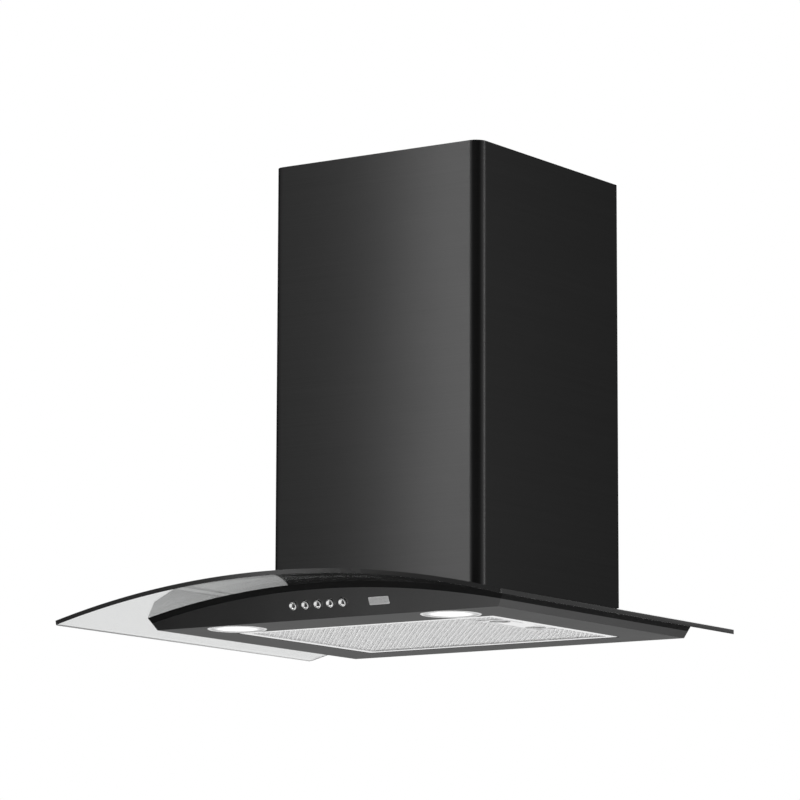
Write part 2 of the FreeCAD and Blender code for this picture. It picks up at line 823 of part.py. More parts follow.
def make_cover_brackets():
    """Two bent brackets between the blower box and the lower cover, which the upper one rests on."""
    brackets = []
    for side, sign in (("Left", "(0 - 1)"), ("Right", "1")):
        body = new_body("CoverBracket" + side)
        inner = f"({sign} * {BOX_HALF})"
        outer = f"({sign} * (chimney_width / 2 - sheet_thickness))"
        high = "(chimney_top - chimney_upper_drop - chimney_upper_length - cover_bracket_play)"
        low = f"({high} - cover_bracket_size)"
        web = f"({high} - sheet_thickness)"
        loop = [
            (inner, high),
            (inner, low),
            (f"{inner} + {sign} * sheet_thickness", low),
            (f"{inner} + {sign} * sheet_thickness", web),
            (f"{outer} - {sign} * sheet_thickness", web),
            (f"{outer} - {sign} * sheet_thickness", low),
            (outer, low),
            (outer, high),
        ]
        pad(body, "CoverBracketSheet" + side, "XZ_Plane", [loop], "cover_bracket_size",
            start="cover_bracket_back")
        brackets.append(body)
    keep("cover_brackets", joined("CoverBrackets", brackets))


def make_blower_box():
    """Steel box that stands on the top plate, open below, with a round outlet above."""
    body = new_body("BlowerBox")
    outer = box_loop(minus(BOX_HALF), f"0 - {BOX_FRONT}", BOX_HALF, "0 - box_back")
    pad(body, "BoxBlock", "XY_Plane", [outer], "box_top")
    below_arch(body, "BoxFoot", BODY_TOP)
    inner = f"({BOX_HALF} - sheet_thickness)"
    flange_top = f"({BODY_TOP} + sheet_thickness)"
    height = arch_height(flange_top, inner)
    cut(body, "BoxHollow", "XZ_Plane", [[
        (minus(inner), height, "right", flange_top),
        (inner, height),
        (inner, "box_top - sheet_thickness"),
        (minus(inner), "box_top - sheet_thickness"),
    ]], "box_depth - 2 * sheet_thickness", start="box_back + sheet_thickness")
    mouth = f"({inner} - box_flange)"
    loops = [box_loop(
        minus(mouth), f"sheet_thickness + box_flange - {BOX_FRONT}",
        mouth, "0 - box_back - sheet_thickness - box_flange")]
    loops += arch_circles(box_fixings(), "screw_diameter + screw_hole_play")
    cut(body, "BoxMouth", "XY_Plane", loops, "blower_height")
    cut(body, "BoxOutlet", "XY_Plane", [("circle", "0", OUTLET_MIDDLE, COLLAR_BORE)],
        "2 * sheet_thickness", start="box_top - sheet_thickness - sheet_thickness / 2")
    keep("blower_box", body)


def make_box_screws():
    """Screws through the box's flange into the top plate."""
    items = []
    for number, (angle, back) in enumerate(box_fixings(), start=1):
        seat = f"({BODY_TOP} + sheet_thickness)"
        head = cylinder(f"BoxScrewHead{number}", "screw_head_diameter / 2", "screw_head_height")
        items.append(on_arch(head, seat, angle, back))
        shank = cylinder(f"BoxScrewShank{number}", "screw_diameter / 2", "screw_length / 2")
        items.append(on_arch(shank, f"({seat} - screw_length / 2)", angle, back))
    keep("box_screws", joined("BoxScrews", items))


def make_hanging_plate():
    """Channel against the wall that carries the blower box, with the four wall holes."""
    body = new_body("HangingPlate")
    outer = f"({BOX_HALF} + hanger_thickness)"
    loop = [
        (minus(outer), "0"),
        (minus(outer), "0 - hanger_reach"),
        (minus(BOX_HALF), "0 - hanger_reach"),
        (minus(BOX_HALF), "0 - hanger_thickness"),
        (BOX_HALF, "0 - hanger_thickness"),
        (BOX_HALF, "0 - hanger_reach"),
        (outer, "0 - hanger_reach"),
        (outer, "0"),
    ]
    pad(body, "HangerChannel", "XY_Plane", [loop], "hanger_top - hanger_bottom",
        start="hanger_bottom")
    holes = []
    for side in ("(0 - wall_hole_spacing / 2)", "(wall_hole_spacing / 2)"):
        for height in ("wall_hole_low", "(wall_hole_low + wall_hole_rise)"):
            holes.append(("circle", side, height, "wall_hole_diameter / 2"))
    cut(body, "WallHoles", "XZ_Plane", holes, "hanger_thickness")
    keep("hanging_plate", body)


def scroll_loop(wall):
    """The scroll seen along the blower's axis, its walls moved out by wall."""
    first = f"(scroll_radius + {wall})"
    second = f"(scroll_radius + scroll_growth + {wall})"
    third = f"(scroll_radius + 2 * scroll_growth + {wall})"
    return [
        (SCROLL_Y1, f"({SCROLL_Z1} + {first})", "left", first),
        (f"({SCROLL_Y1} - {first})", SCROLL_Z1, "left", second),
        (SCROLL_Y2, f"({SCROLL_Z1} - {second})", "left", third),
        (f"({SCROLL_Y2} + {third})", SCROLL_Z2),
        (f"({SCROLL_BACK} + {wall})", SCROLL_TOP),
        (f"({OUTLET_FRONT} - {wall})", SCROLL_TOP),
        (f"({OUTLET_FRONT} - {wall})", f"({SCROLL_Z1} + {first})"),
    ]


def make_scroll_casing():
    """Two half casings that meet in the middle, each with a round inlet."""
    half = "(scroll_width / 2)"
    inner = "(scroll_width / 2 - scroll_wall)"
    for label, start, hollow in (
            ("scroll_casing_left", minus(half), minus(inner)),
            ("scroll_casing_right", "0", "0")):
        body = new_body(label.title().replace("_", ""))
        pad(body, label + "Block", "YZ_Plane", [scroll_loop("scroll_wall")], half, start=start)
        cut(body, label + "Hollow", "YZ_Plane", [scroll_loop("0")], inner, start=hollow)
        inlet = ("circle", AXIS_Y, "blower_height", "inlet_diameter / 2")
        cut(body, label + "Inlet", "YZ_Plane", [inlet])
        keep(label, body)


def make_inlet_ring():
    """Flared ring round the left inlet."""
    body = new_body("InletRing")
    outer = "(inlet_diameter / 2 + inlet_ring_width)"
    pad(body, "InletRingSheet", "YZ_Plane",
        ring_loops(AXIS_Y, "blower_height", outer, "inlet_diameter / 2"),
        "inlet_ring_thickness", start="0 - scroll_width / 2 - inlet_ring_thickness")
    keep("inlet_ring", body)


def make_motor_bracket():
    """Ring on the right inlet with three arms to the clamp round the motor."""
    body = new_body("MotorBracket")
    outer = "(inlet_diameter / 2 + inlet_ring_width)"
    inner = "(motor_diameter / 2 + motor_ring_width)"
    start = "scroll_width / 2"
    pad(body, "BracketRing", "YZ_Plane",
        ring_loops(AXIS_Y, "blower_height", outer, "inlet_diameter / 2"),
        "inlet_ring_thickness", start=start)
    for number, angle in enumerate((90, 210, 330), start=1):
        across = (f"bracket_arm_width / 2 * sin({angle})", f"bracket_arm_width / 2 * cos({angle})")
        near = (f"{AXIS_Y} + ({inner} - motor_ring_width / 2) * cos({angle})",
                f"blower_height + ({inner} - motor_ring_width / 2) * sin({angle})")
        far = (f"{AXIS_Y} + (inlet_diameter / 2 + inlet_ring_width / 2) * cos({angle})",
               f"blower_height + (inlet_diameter / 2 + inlet_ring_width / 2) * sin({angle})")
        arm = [
            (f"{near[0]} + {across[0]}", f"{near[1]} - {across[1]}"),
            (f"{far[0]} + {across[0]}", f"{far[1]} - {across[1]}"),
            (f"{far[0]} - {across[0]}", f"{far[1]} + {across[1]}"),
            (f"{near[0]} - {across[0]}", f"{near[1]} + {across[1]}"),
        ]
        pad(body, f"BracketArm{number}", "YZ_Plane", [arm], "inlet_ring_thickness", start=start)
    pad(body, "BracketClamp", "YZ_Plane",
        ring_loops(AXIS_Y, "blower_height", inner, "motor_diameter / 2"),
        "inlet_ring_thickness", start=start)
    keep("motor_bracket", body)


def make_motor():
    """Motor can with a bore for the shaft."""
    body = new_body("BlowerMotor")
    circle = ("circle", AXIS_Y, "blower_height", "motor_diameter / 2")
    pad(body, "MotorCan", "YZ_Plane", [circle], "motor_length", start=MOTOR_START)
    boss = ("circle", AXIS_Y, "blower_height", "hub_diameter / 2")
    pad(body, "MotorBoss", "YZ_Plane", [boss], "motor_length + motor_gap / 2",
        start=f"{MOTOR_START} - motor_gap / 2")
    bore = ("circle", AXIS_Y, "blower_height", "shaft_diameter / 2 + shaft_play")
    cut(body, "MotorBore", "YZ_Plane", [bore], f"motor_gap + shaft_seat + {OVERRUN}",
        start=f"{MOTOR_START} - motor_gap")
    keep("blower_motor", body)
    shaft = cylinder("MotorShaft", "shaft_diameter / 2", f"{MOTOR_START} + shaft_seat + hub_length / 2")
    place(shaft, "0 - hub_length / 2", AXIS_Y, "blower_height", (0, 1, 0), "90")
    keep("motor_shaft", shaft)


def make_impeller():
    """Drum of forward-curved blades between two rims, on a disc and a hub."""
    body = new_body("Impeller")
    rim = "(impeller_diameter / 2)"
    inner = f"({rim} - blade_depth)"
    hub_loops = ring_loops("0", "0", "hub_diameter / 2", "shaft_diameter / 2")
    pad(body, "ImpellerHub", "YZ_Plane", hub_loops, "hub_length", start="0 - hub_length / 2")
    disc_loops = ring_loops("0", "0", rim, "shaft_diameter / 2")
    pad(body, "ImpellerDisc", "YZ_Plane", disc_loops, "impeller_disc", start="0 - impeller_disc / 2")
    near = f"{inner} + blade_lap"
    far = f"{rim} - blade_lap"
    blade = [
        (near, "0", "right", "blade_bow_radius"),
        (far, "blade_sweep"),
        (far, "blade_sweep + blade_thickness", "left", "blade_bow_radius"),
        (near, "blade_thickness"),
    ]
    blade_pad = pad(body, "ImpellerBlade", "YZ_Plane", [blade], "impeller_width",
                    start="0 - impeller_width / 2")
    pattern = body.newObject("PartDesign::PolarPattern", "ImpellerBlades")
    pattern.Originals = [blade_pad]
    for feature in body.Origin.OriginFeatures:
        if feature.Role == "X_Axis":
            pattern.Axis = (feature, [""])
    pattern.Angle = 360
    pattern.setExpression("Occurrences", linked("blade_count"))
    body.Tip = pattern
    doc.recompute()
    rim_loops = ring_loops("0", "0", rim, inner)
    pad(body, "ImpellerRimLeft", "YZ_Plane", rim_loops, "impeller_rim", start="0 - impeller_width / 2")
    pad(body, "ImpellerRimRight", "YZ_Plane", rim_loops, "impeller_rim",
        start="impeller_width / 2 - impeller_rim")
    place(body, "0", AXIS_Y, "blower_height")
    keep("impeller", body)


def make_duct_collar():
    """Round outlet spigot with a ledge for the flaps and holes for their pin."""
    body = new_body("DuctCollar")
    flange = f"({COLLAR_RADIUS} + collar_flange)"
    pad(body, "CollarFlange", "XY_Plane", ring_loops("0", OUTLET_MIDDLE, flange, COLLAR_BORE),
        "collar_wall", start="box_top")
    pad(body, "CollarTube", "XY_Plane",
        ring_loops("0", OUTLET_MIDDLE, COLLAR_RADIUS, COLLAR_BORE), "collar_height",
        start="box_top")
    ledge = f"({COLLAR_BORE} - flap_ledge)"
    pad(body, "CollarLedge", "XY_Plane",
        ring_loops("0", OUTLET_MIDDLE, f"({COLLAR_BORE} + collar_wall / 2)", ledge),
        "collar_wall", start=f"{PIN_Z} - flap_thickness / 2 - tab_play - collar_wall")
    pin = ("circle", OUTLET_MIDDLE, PIN_Z, "pin_diameter / 2 + pin_play")
    cut(body, "CollarPinHoles", "YZ_Plane", [pin])
    keep("duct_collar", body)
    pin = cylinder("FlapPin", "pin_diameter / 2", "collar_diameter")
    place(pin, f"0 - {COLLAR_RADIUS}", OUTLET_MIDDLE, PIN_Z, (0, 1, 0), "90")
    keep("flap_pin", pin)


def make_flap(label, sign, turn, first, second):
    """Half-moon flap with two knuckles round the pin."""
    body = new_body(label.title().replace("_", ""))
    root = f"({sign} * flap_root_gap)"
    chord = f"sqrt({FLAP_RADIUS}^2 - flap_root_gap^2)"
    near = f"({sign} * (pin_diameter + flap_knuckle_diameter) / 4)"
    far = f"({sign} * (flap_root_gap + flap_thickness))"
    outline = [
        (f"(0 - {chord})", root),
        (chord, root, turn, FLAP_RADIUS),
    ]
    pad(body, label + "Plate", "XY_Plane", [outline], "flap_thickness", start="0 - flap_thickness / 2")
    webs = []
    for knuckle in (first, second):
        webs.append(box_loop(knuckle, near, f"{knuckle} + flap_knuckle_length", far))
    pad(body, label + "Webs", "XY_Plane", webs, "flap_thickness", start="0 - flap_thickness / 2")
    for name, knuckle in (("First", first), ("Second", second)):
        loops = ring_loops("0", "0", "flap_knuckle_diameter / 2", "pin_diameter / 2 + pin_play")
        pad(body, label + "Knuckle" + name, "YZ_Plane", loops, "flap_knuckle_length", start=knuckle)
    place(body, "0", OUTLET_MIDDLE, PIN_Z)
    keep(label, body)


def make_flaps():
    """The two flaps, their knuckles side by side along the pin."""
    step = "(flap_knuckle_length + flap_knuckle_gap)"
    make_flap("flap_front", "(0 - 1)", "right", f"(0 - 2.5 * {step})", f"(0.5 * {step})")
    make_flap("flap_rear", "1", "left", f"(0 - 1.5 * {step})", f"(1.5 * {step})")


def make_capacitor():
    """Run capacitor lying on the blower box, and the clamp over it."""
    middle = f"(parts_front_margin + capacitor_diameter / 2 + clamp_thickness - {BOX_FRONT})"
    height = "(box_top + clamp_thickness + capacitor_diameter / 2)"
    radius = "(capacitor_diameter / 2)"
    can = new_body("RunCapacitor")
    pad(can, "CapacitorCan", "YZ_Plane", [("circle", middle, height, radius)],
        "capacitor_length", start="capacitor_start")
    for number, sign in enumerate(("-", "+"), start=1):
        tag_middle = f"{middle} {sign} tag_spacing / 2"
        tag = box_loop(
            f"{tag_middle} - tag_width / 2", f"{height} - tag_thickness / 2",
            f"{tag_middle} + tag_width / 2", f"{height} + tag_thickness / 2")
        pad(can, f"CapacitorTag{number}", "YZ_Plane", [tag], "tag_length",
            start="capacitor_start + capacitor_length")
    keep("run_capacitor", can)
    clamp = new_body("CapacitorClamp")
    start = "capacitor_start + capacitor_length / 2 - clamp_width / 2"
    outer = f"({radius} + clamp_thickness)"
    pad(clamp, "ClampBand", "YZ_Plane", [("circle", middle, height, outer)], "clamp_width",
        start=start)
    foot = box_loop(middle, "box_top", f"{middle} + {outer} + clamp_foot",
                    "box_top + clamp_thickness")
    pad(clamp, "ClampFoot", "YZ_Plane", [foot], "clamp_width", start=start)
    cut(clamp, "ClampBore", "YZ_Plane", [("circle", middle, height, radius)])
    keep("capacitor_clamp", clamp)


def make_terminal_box():
    """Terminal box with its lid and the cable gland."""
    left = "(0 - terminal_offset - terminal_length / 2)"
    right = "(terminal_length / 2 - terminal_offset)"
    front = f"(parts_front_margin - {BOX_FRONT})"
    back = f"({front} + terminal_depth)"
    wall = "terminal_wall"
    middle = "(box_top + terminal_height / 2)"
    body = new_body("TerminalBox")
    pad(body, "TerminalBlock", "XY_Plane", [round_loop(left, front, right, back, "terminal_corner")],
        "terminal_height", start="box_top")
    cut(body, "TerminalHollow", "XY_Plane", [box_loop(
        f"{left} + {wall}", f"{front} + {wall}", f"{right} - {wall}", f"{back} - {wall}")],
        "terminal_height", start=f"box_top + {wall}")
    gland_x = "(0 - terminal_offset)"
    entry = ("circle", gland_x, middle, "gland_neck_diameter / 2")
    cut(body, "TerminalEntry", "XZ_Plane", [entry], f"2 * {wall}", start=f"0 - {back} - {wall} / 2")
    keep("terminal_box", body)
    lid = new_body("TerminalLid")
    pad(lid, "LidSheet", "XY_Plane", [round_loop(left, front, right, back, "terminal_corner")],
        wall, start="box_top + terminal_height")
    keep("terminal_lid", lid)
    gland = new_body("CableGland")
    pad(gland, "GlandHead", "XZ_Plane",
        ring_loops(gland_x, middle, "gland_diameter / 2", "gland_bore / 2"),
        f"gland_length - {wall}", start=f"0 - {back} - gland_length + {wall}")
    pad(gland, "GlandNeck", "XZ_Plane",
        ring_loops(gland_x, middle, "gland_neck_diameter / 2 - gland_play", "gland_bore / 2"),
        f"2 * {wall}", start=f"0 - {back} - {wall}")
    keep("cable_gland", gland)


def lamp_sides():
    """The two lamps and their distance from the middle."""
    yield "left", "(0 - lamp_spacing / 2)"
    yield "right", "(lamp_spacing / 2)"


def make_lamps():
    """Bezel with a sleeve, lens and lamp body on each side."""
    sleeve = "(lamp_hole_diameter / 2 - lamp_play)"
    bore = f"({sleeve} - lamp_sleeve_wall)"
    body_radius = f"({bore} - lamp_play)"
    for side, x in lamp_sides():
        y = "(0 - lamp_back)"
        bezel = new_body("LampBezel" + side.title())
        pad(bezel, f"Bezel{side}Flange", "XY_Plane",
            ring_loops(x, y, "lamp_bezel_diameter / 2", bore), "lamp_bezel_thickness",
            start="0 - lamp_bezel_thickness")
        pad(bezel, f"Bezel{side}Sleeve", "XY_Plane", ring_loops(x, y, sleeve, bore),
            "lamp_bezel_thickness + lamp_sleeve_height", start="0 - lamp_bezel_thickness")
        keep(f"lamp_bezel_{side}", bezel)
        lens = cylinder("LampLens" + side.title(), body_radius, "lens_thickness")
        place(lens, x, y, "lens_recess - lamp_bezel_thickness")
        keep(f"lamp_lens_{side}", lens)
        lamp = cylinder("LampBody" + side.title(), body_radius, "lamp_body_height")
        place(lamp, x, y, "lens_recess - lamp_bezel_thickness + lens_thickness")
        keep(f"lamp_body_{side}", lamp)


def button_place(number):
    """Distance of a button from the middle."""
    return f"(button_centre + ({number} - (button_count - 1) / 2) * button_pitch)"


def on_fascia(item):
    """Leans an object that is drawn upright at Y = 0 onto the fascia's outer face."""
    return place(item, "0", "0 - body_depth", "0", (1, 0, 0), "front_lean")


def make_buttons():
    """Push buttons: a round cap through the fascia and a stem into the switch bank."""
    for number in range(count("button_count")):
        body = new_body(f"Button{number + 1}")
        x = button_place(number)
        cap = [("circle", x, "button_up_fascia", "button_diameter / 2")]
        pad(body, f"ButtonCap{number + 1}", "XZ_Plane", cap, "button_proud + button_inside",
            start="0 - button_inside")
        stem = [("circle", x, "button_up_fascia", "stem_diameter / 2")]
        pad(body, f"ButtonStem{number + 1}", "XZ_Plane", stem, "stem_length",
            start="0 - button_inside - stem_length")
        face = value("button_proud")
        radius = value("button_diameter / 2")
        rims = []
        for index, edge in enumerate(body.Shape.Edges, start=1):
            round_edge = hasattr(edge.Curve, "Radius") and abs(edge.Curve.Radius - radius) < 1e-6
            if round_edge and abs(edge.CenterOfMass.y + face) < 1e-6:
                rims.append(f"Edge{index}")
        rounding = body.newObject("PartDesign::Fillet", f"ButtonRim{number + 1}")
        rounding.Base = (body.Group[-2], rims)
        rounding.setExpression("Radius", linked("button_edge"))
        doc.recompute()
        on_fascia(body)
        keep(f"button_{number + 1}", body)


def make_switch_bank():
    """Switch housing behind the fascia, bored for the caps and their stems."""
    body = new_body("SwitchBank")
    bore = "(button_inside + button_travel + button_end_gap - sheet_thickness)"
    first = f"({button_place(0)} - switch_bank_margin)"
    last = f"({button_place('(button_count - 1)')} + switch_bank_margin)"
    low = "(button_up_fascia - switch_bank_height / 2)"
    high = "(button_up_fascia + switch_bank_height / 2)"
    pad(body, "BankBlock", "XZ_Plane", [round_loop(first, low, last, high, "switch_bank_corner")],
        "switch_bank_depth", start="0 - sheet_thickness - switch_bank_depth")
    caps, stems = [], []
    for number in range(count("button_count")):
        x = button_place(number)
        caps.append(("circle", x, "button_up_fascia", "button_diameter / 2 + button_play"))
        stems.append(("circle", x, "button_up_fascia", "stem_diameter / 2 + button_play"))
    cut(body, "BankCapBores", "XZ_Plane", caps, bore, start=f"0 - sheet_thickness - {bore}")
    cut(body, "BankStemBores", "XZ_Plane", stems)
    on_fascia(body)
    keep("switch_bank", body)


def make_blank_plate():
    """Plain plate on the fascia beside the buttons."""
    body = new_body("BlankPlate")
    loop = round_loop(
        "(plate_centre - plate_width / 2)", "(plate_up_fascia - plate_height / 2)",
        "(plate_centre + plate_width / 2)", "(plate_up_fascia + plate_height / 2)", "plate_corner")
    pad(body, "PlateSheet", "XZ_Plane", [loop], "plate_thickness")
    on_fascia(body)
    keep("blank_plate", body)


def make_filter_frame():
    """Channel frame of the grease filter, with two hanging tabs and the tongue's slot."""
    body = new_body("FilterFrame")
    rim_front = f"({FILTER_FRONT} + filter_rim)"
    rim_back = f"({FILTER_BACK} - filter_rim)"
    pad(body, "FrameRing", "XY_Plane", [
        round_loop(minus(FILTER_HALF), FILTER_FRONT, FILTER_HALF, FILTER_BACK, "filter_corner"),
        box_loop(minus(RIM_HALF), rim_front, RIM_HALF, rim_back),
    ], "filter_height", start="filter_recess")
    cut(body, "FrameGroove", "XY_Plane", [box_loop(
        minus(GROOVE_HALF), f"({rim_front} - filter_groove)", GROOVE_HALF,
        f"({rim_back} + filter_groove)")], "filter_height - 2 * filter_skin", start=GROOVE_LOW)
    tabs = []
    middle = f"(({FILTER_FRONT} + {FILTER_BACK}) / 2)"
    for sign in ("(0 - 1)", "1"):
        y = f"({middle} + {sign} * tab_spacing / 2)"
        tabs.append(box_loop(
            "(0 - filter_opening_width / 2 - tab_length)", f"{y} - tab_width / 2",
            f"(filter_skin - {FILTER_HALF})", f"{y} + tab_width / 2"))
    pad(body, "FrameTabs", "XY_Plane", tabs, "tab_thickness", start=TAB_LOW)
    slot = box_loop(
        "(0 - latch_back - tongue_width / 2 - latch_play)", f"{SLIDER_LOW} - tab_play",
        "(tongue_width / 2 + latch_play - latch_back)", f"{SLIDER_HIGH} + latch_play")
    cut(body, "FrameSlot", "YZ_Plane", [slot], f"filter_rim + 2 * {OVERRUN}",
        start=f"{RIM_HALF} - {OVERRUN}")
    keep("filter_frame", body)


def latch_gap():
    """The corners of the gap that filter layers leave round the latch cup."""
    return (f"{CUP_LEFT} - mesh_play", f"{CUP_FRONT} - mesh_play", MESH_HALF,
            f"{CUP_BACK} + mesh_play")


def rectangle_wire(left, front, right, back, height):
    """A level rectangle as a wire."""
    corners = [Vector(left, front, height), Vector(right, front, height),
               Vector(right, back, height), Vector(left, back, height)]
    return Part.makePolygon(corners + corners[:1])


def mesh_fields():
    """The three fields of every filter layer: the main one and those before and behind the latch."""
    half, front, back = value(MESH_HALF), value(MESH_FRONT), value(MESH_BACK)
    gap_left, gap_front, gap_right, gap_back = (value(text) for text in latch_gap())
    return {
        "main": (-half, front, gap_left, back, count("mesh_columns"), count("mesh_rows")),
        "front": (gap_left, front, half, gap_front, count("mesh_corner_columns"),
                  count("mesh_corner_rows")),
        "rear": (gap_left, gap_back, half, back, count("mesh_corner_columns"),
                 count("mesh_corner_rows")),
    }


def field_holes(field, height):
    """The rows of holes in one field."""
    left, front, right, back, columns, rows = field
    bar = value("mesh_bar")
    border = value("filter_groove") + bar / 2
    column_pitch = (right - left - 2 * border) / columns
    row_pitch = (back - front - 2 * border) / rows
    holes = []
    for column in range(columns):
        near = left + border + bar / 2 + column * column_pitch
        for row in range(rows):
            low = front + border + bar / 2 + row * row_pitch
            holes.append(rectangle_wire(
                near, low, near + column_pitch - bar, low + row_pitch - bar, height))
    return holes


def lay(label, outline, holes, thickness):
    """One holed layer."""
    item = doc.addObject("Part::Feature", label.title().replace("_", ""))
    face = Part.makeFace([outline] + holes, "Part::FaceMakerBullseye")
    item.Shape = face.extrude(Vector(0, 0, value(thickness)))
    item.Placement = Placement()
    keep(label, item)


def make_mesh(label, low):
    """A holed sheet that fills the frame, less the latch's corner."""
    half, front, back = value(MESH_HALF), value(MESH_FRONT), value(MESH_BACK)
    gap_left, gap_front, gap_right, gap_back = (value(text) for text in latch_gap())
    height = value(low)
    outline = Part.makePolygon([
        Vector(-half, front, height), Vector(half, front, height),
        Vector(half, gap_front, height), Vector(gap_left, gap_front, height),
        Vector(gap_left, gap_back, height), Vector(half, gap_back, height),
        Vector(half, back, height), Vector(-half, back, height), Vector(-half, front, height)])
    holes = []
    for field in mesh_fields().values():
        holes += field_holes(field, height)
    lay(label, outline, holes, "mesh_thickness")


def make_pad(label, field):
    """A rectangular pad of knitted metal, holed like the meshes, between the two meshes."""
    height = value(f"{GROOVE_LOW} + mesh_thickness")
    left, front, right, back = field[:4]
    play = value("mesh_play") / 2
    left += play if left > -value(MESH_HALF) else 0
    right -= play if right < value(MESH_HALF) else 0
    outline = rectangle_wire(left, front, right, back, height)
    lay(label, outline, field_holes(field, height),
        f"{GROOVE_HIGH} - {GROOVE_LOW} - 2 * mesh_thickness")


def make_filter_layers():
    """Lower and upper mesh with three pads between them."""
    make_mesh("filter_mesh_lower", GROOVE_LOW)
    make_mesh("filter_mesh_upper", f"{GROOVE_HIGH} - mesh_thickness")
    for name, field in mesh_fields().items():
        make_pad(f"filter_pad_{name}", field)


def make_latch():
    """Cup with two guide grooves, and the slider with its finger holes, its tongue drawn back."""
    low = "(filter_recess + latch_play)"
    cup = new_body("LatchCup")
    inner_left = f"({CUP_LEFT} + latch_wall)"
    inner_right = f"({CUP_RIGHT} - latch_wall)"
    pad(cup, "CupBlock", "XY_Plane", [box_loop(CUP_LEFT, CUP_FRONT, CUP_RIGHT, CUP_BACK)],
        f"{GROOVE_HIGH} - {low}", start=low)
    cut(cup, "CupHollow", "XY_Plane", [box_loop(inner_left, LATCH_FRONT, inner_right, LATCH_BACK)],
        f"{GROOVE_HIGH} - filter_skin")
    groove_front = f"({LATCH_FRONT} - latch_guide)"
    groove_back = f"({LATCH_BACK} + latch_guide)"
    cut(cup, "CupGuides", "XY_Plane",
        [box_loop(inner_left, groove_front, inner_right, groove_back)],
        "latch_thickness + latch_play", start=f"{SLIDER_LOW} - tab_play")
    slot = box_loop(
        "(0 - latch_back - tongue_width / 2 - latch_play)", f"{SLIDER_LOW} - tab_play",
        "(tongue_width / 2 + latch_play - latch_back)", f"{SLIDER_HIGH} + latch_play")
    cut(cup, "CupSlot", "YZ_Plane", [slot], f"latch_wall + {OVERRUN}", start=inner_right)
    keep("latch_cup", cup)
    slider = new_body("LatchSlider")
    end_front = f"({LATCH_FRONT} - latch_guide + latch_play)"
    end_back = f"({LATCH_BACK} + latch_guide - latch_play)"
    loops = [[
        (SLIDER_LEFT, end_front),
        (SLIDER_RIGHT, end_front),
        (SLIDER_RIGHT, "(0 - latch_back - tongue_width / 2)"),
        (FILTER_HALF, "(0 - latch_back - tongue_width / 2)"),
        (FILTER_HALF, "(tongue_width / 2 - latch_back)"),
        (SLIDER_RIGHT, "(tongue_width / 2 - latch_back)"),
        (SLIDER_RIGHT, end_back),
        (SLIDER_LEFT, end_back),
    ]]
    for sign in ("(0 - 1)", "1"):
        loops.append((
            "circle", f"(({SLIDER_LEFT} + {SLIDER_RIGHT}) / 2)",
            f"({sign} * finger_hole_spacing / 2 - latch_back)", "finger_hole_diameter / 2"))
    pad(slider, "SliderPlate", "XY_Plane", loops, "latch_thickness", start=SLIDER_LOW)
    keep("latch_slider", slider)


def check_model():
    """Stops if an object failed or a sub-part has no sound shape."""
    for item in doc.Objects:
        if "Invalid" in item.State or "Error" in item.State:
            raise ValueError(f"{item.Name} failed")
    for label, item in parts.items():
        shape = item.Shape
        if shape.isNull() or not shape.isValid() or not shape.Solids:
            raise ValueError(f"{label} has no sound shape")


make_underside_pan()
make_front_fascia()
make_side_panels()
make_rear_panel()
make_top_plate()
make_glass_seal()
make_glass_canopy()
make_glass_fixings()
make_chimney_covers()
make_cover_brackets()
make_blower_box()
make_box_screws()
make_hanging_plate()
make_scroll_casing()
make_inlet_ring()
make_motor_bracket()
make_motor()
make_impeller()
make_duct_collar()
make_flaps()
make_capacitor()
make_terminal_box()
make_lamps()
make_buttons()
make_switch_bank()
make_blank_plate()
make_filter_frame()
make_filter_layers()
make_latch()
doc.recompute()
check_model()

os.makedirs("parts", exist_ok=True)
for label, item in parts.items():
    item.Shape.exportStep(f"parts/{label}.step")
    print(f"{label:22s} solids {len(item.Shape.Solids)} volume {item.Shape.Volume:12.1f}")
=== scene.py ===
import bpy
import math
from mathutils import Matrix, Vector


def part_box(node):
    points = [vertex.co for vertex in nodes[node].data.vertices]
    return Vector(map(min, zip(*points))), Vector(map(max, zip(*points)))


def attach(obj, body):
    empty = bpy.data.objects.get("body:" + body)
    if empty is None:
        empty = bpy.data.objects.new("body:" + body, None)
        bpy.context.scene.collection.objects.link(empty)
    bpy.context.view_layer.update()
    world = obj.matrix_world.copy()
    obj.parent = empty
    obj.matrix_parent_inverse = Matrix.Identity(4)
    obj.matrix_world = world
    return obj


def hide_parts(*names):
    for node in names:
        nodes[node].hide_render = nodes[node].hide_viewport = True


# Curved glass range hood, in metres. The wall is at y = 0, the body's underside at z = 0.

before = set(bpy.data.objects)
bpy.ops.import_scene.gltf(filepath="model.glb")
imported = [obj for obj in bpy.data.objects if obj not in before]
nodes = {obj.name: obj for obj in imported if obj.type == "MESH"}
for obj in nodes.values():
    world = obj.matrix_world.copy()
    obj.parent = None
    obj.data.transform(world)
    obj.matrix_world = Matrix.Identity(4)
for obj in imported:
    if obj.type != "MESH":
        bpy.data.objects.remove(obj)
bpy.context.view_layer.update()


# ---------------------------------------------------------------- finishes

# Sockets of the Mix node that carry colours.
MIX_FACTOR, MIX_FIRST, MIX_SECOND, MIX_RESULT = 0, 6, 7, 2


class Wire:
    """A value inside a finish. Arithmetic on it adds Math nodes."""

    def __init__(self, finish, socket):
        self.finish = finish
        self.socket = socket

    def sum(self, operation, *values):
        return self.finish.node("ShaderNodeMath", {"operation": operation}, list(values))

    def __add__(self, other):
        return self.sum("ADD", self, other)

    def __sub__(self, other):
        return self.sum("SUBTRACT", self, other)

    def __rsub__(self, other):
        return self.sum("SUBTRACT", other, self)

    def __mul__(self, other):
        return self.sum("MULTIPLY", self, other)

    def __pow__(self, other):
        return self.sum("POWER", self, other)

    __radd__ = __add__
    __rmul__ = __mul__


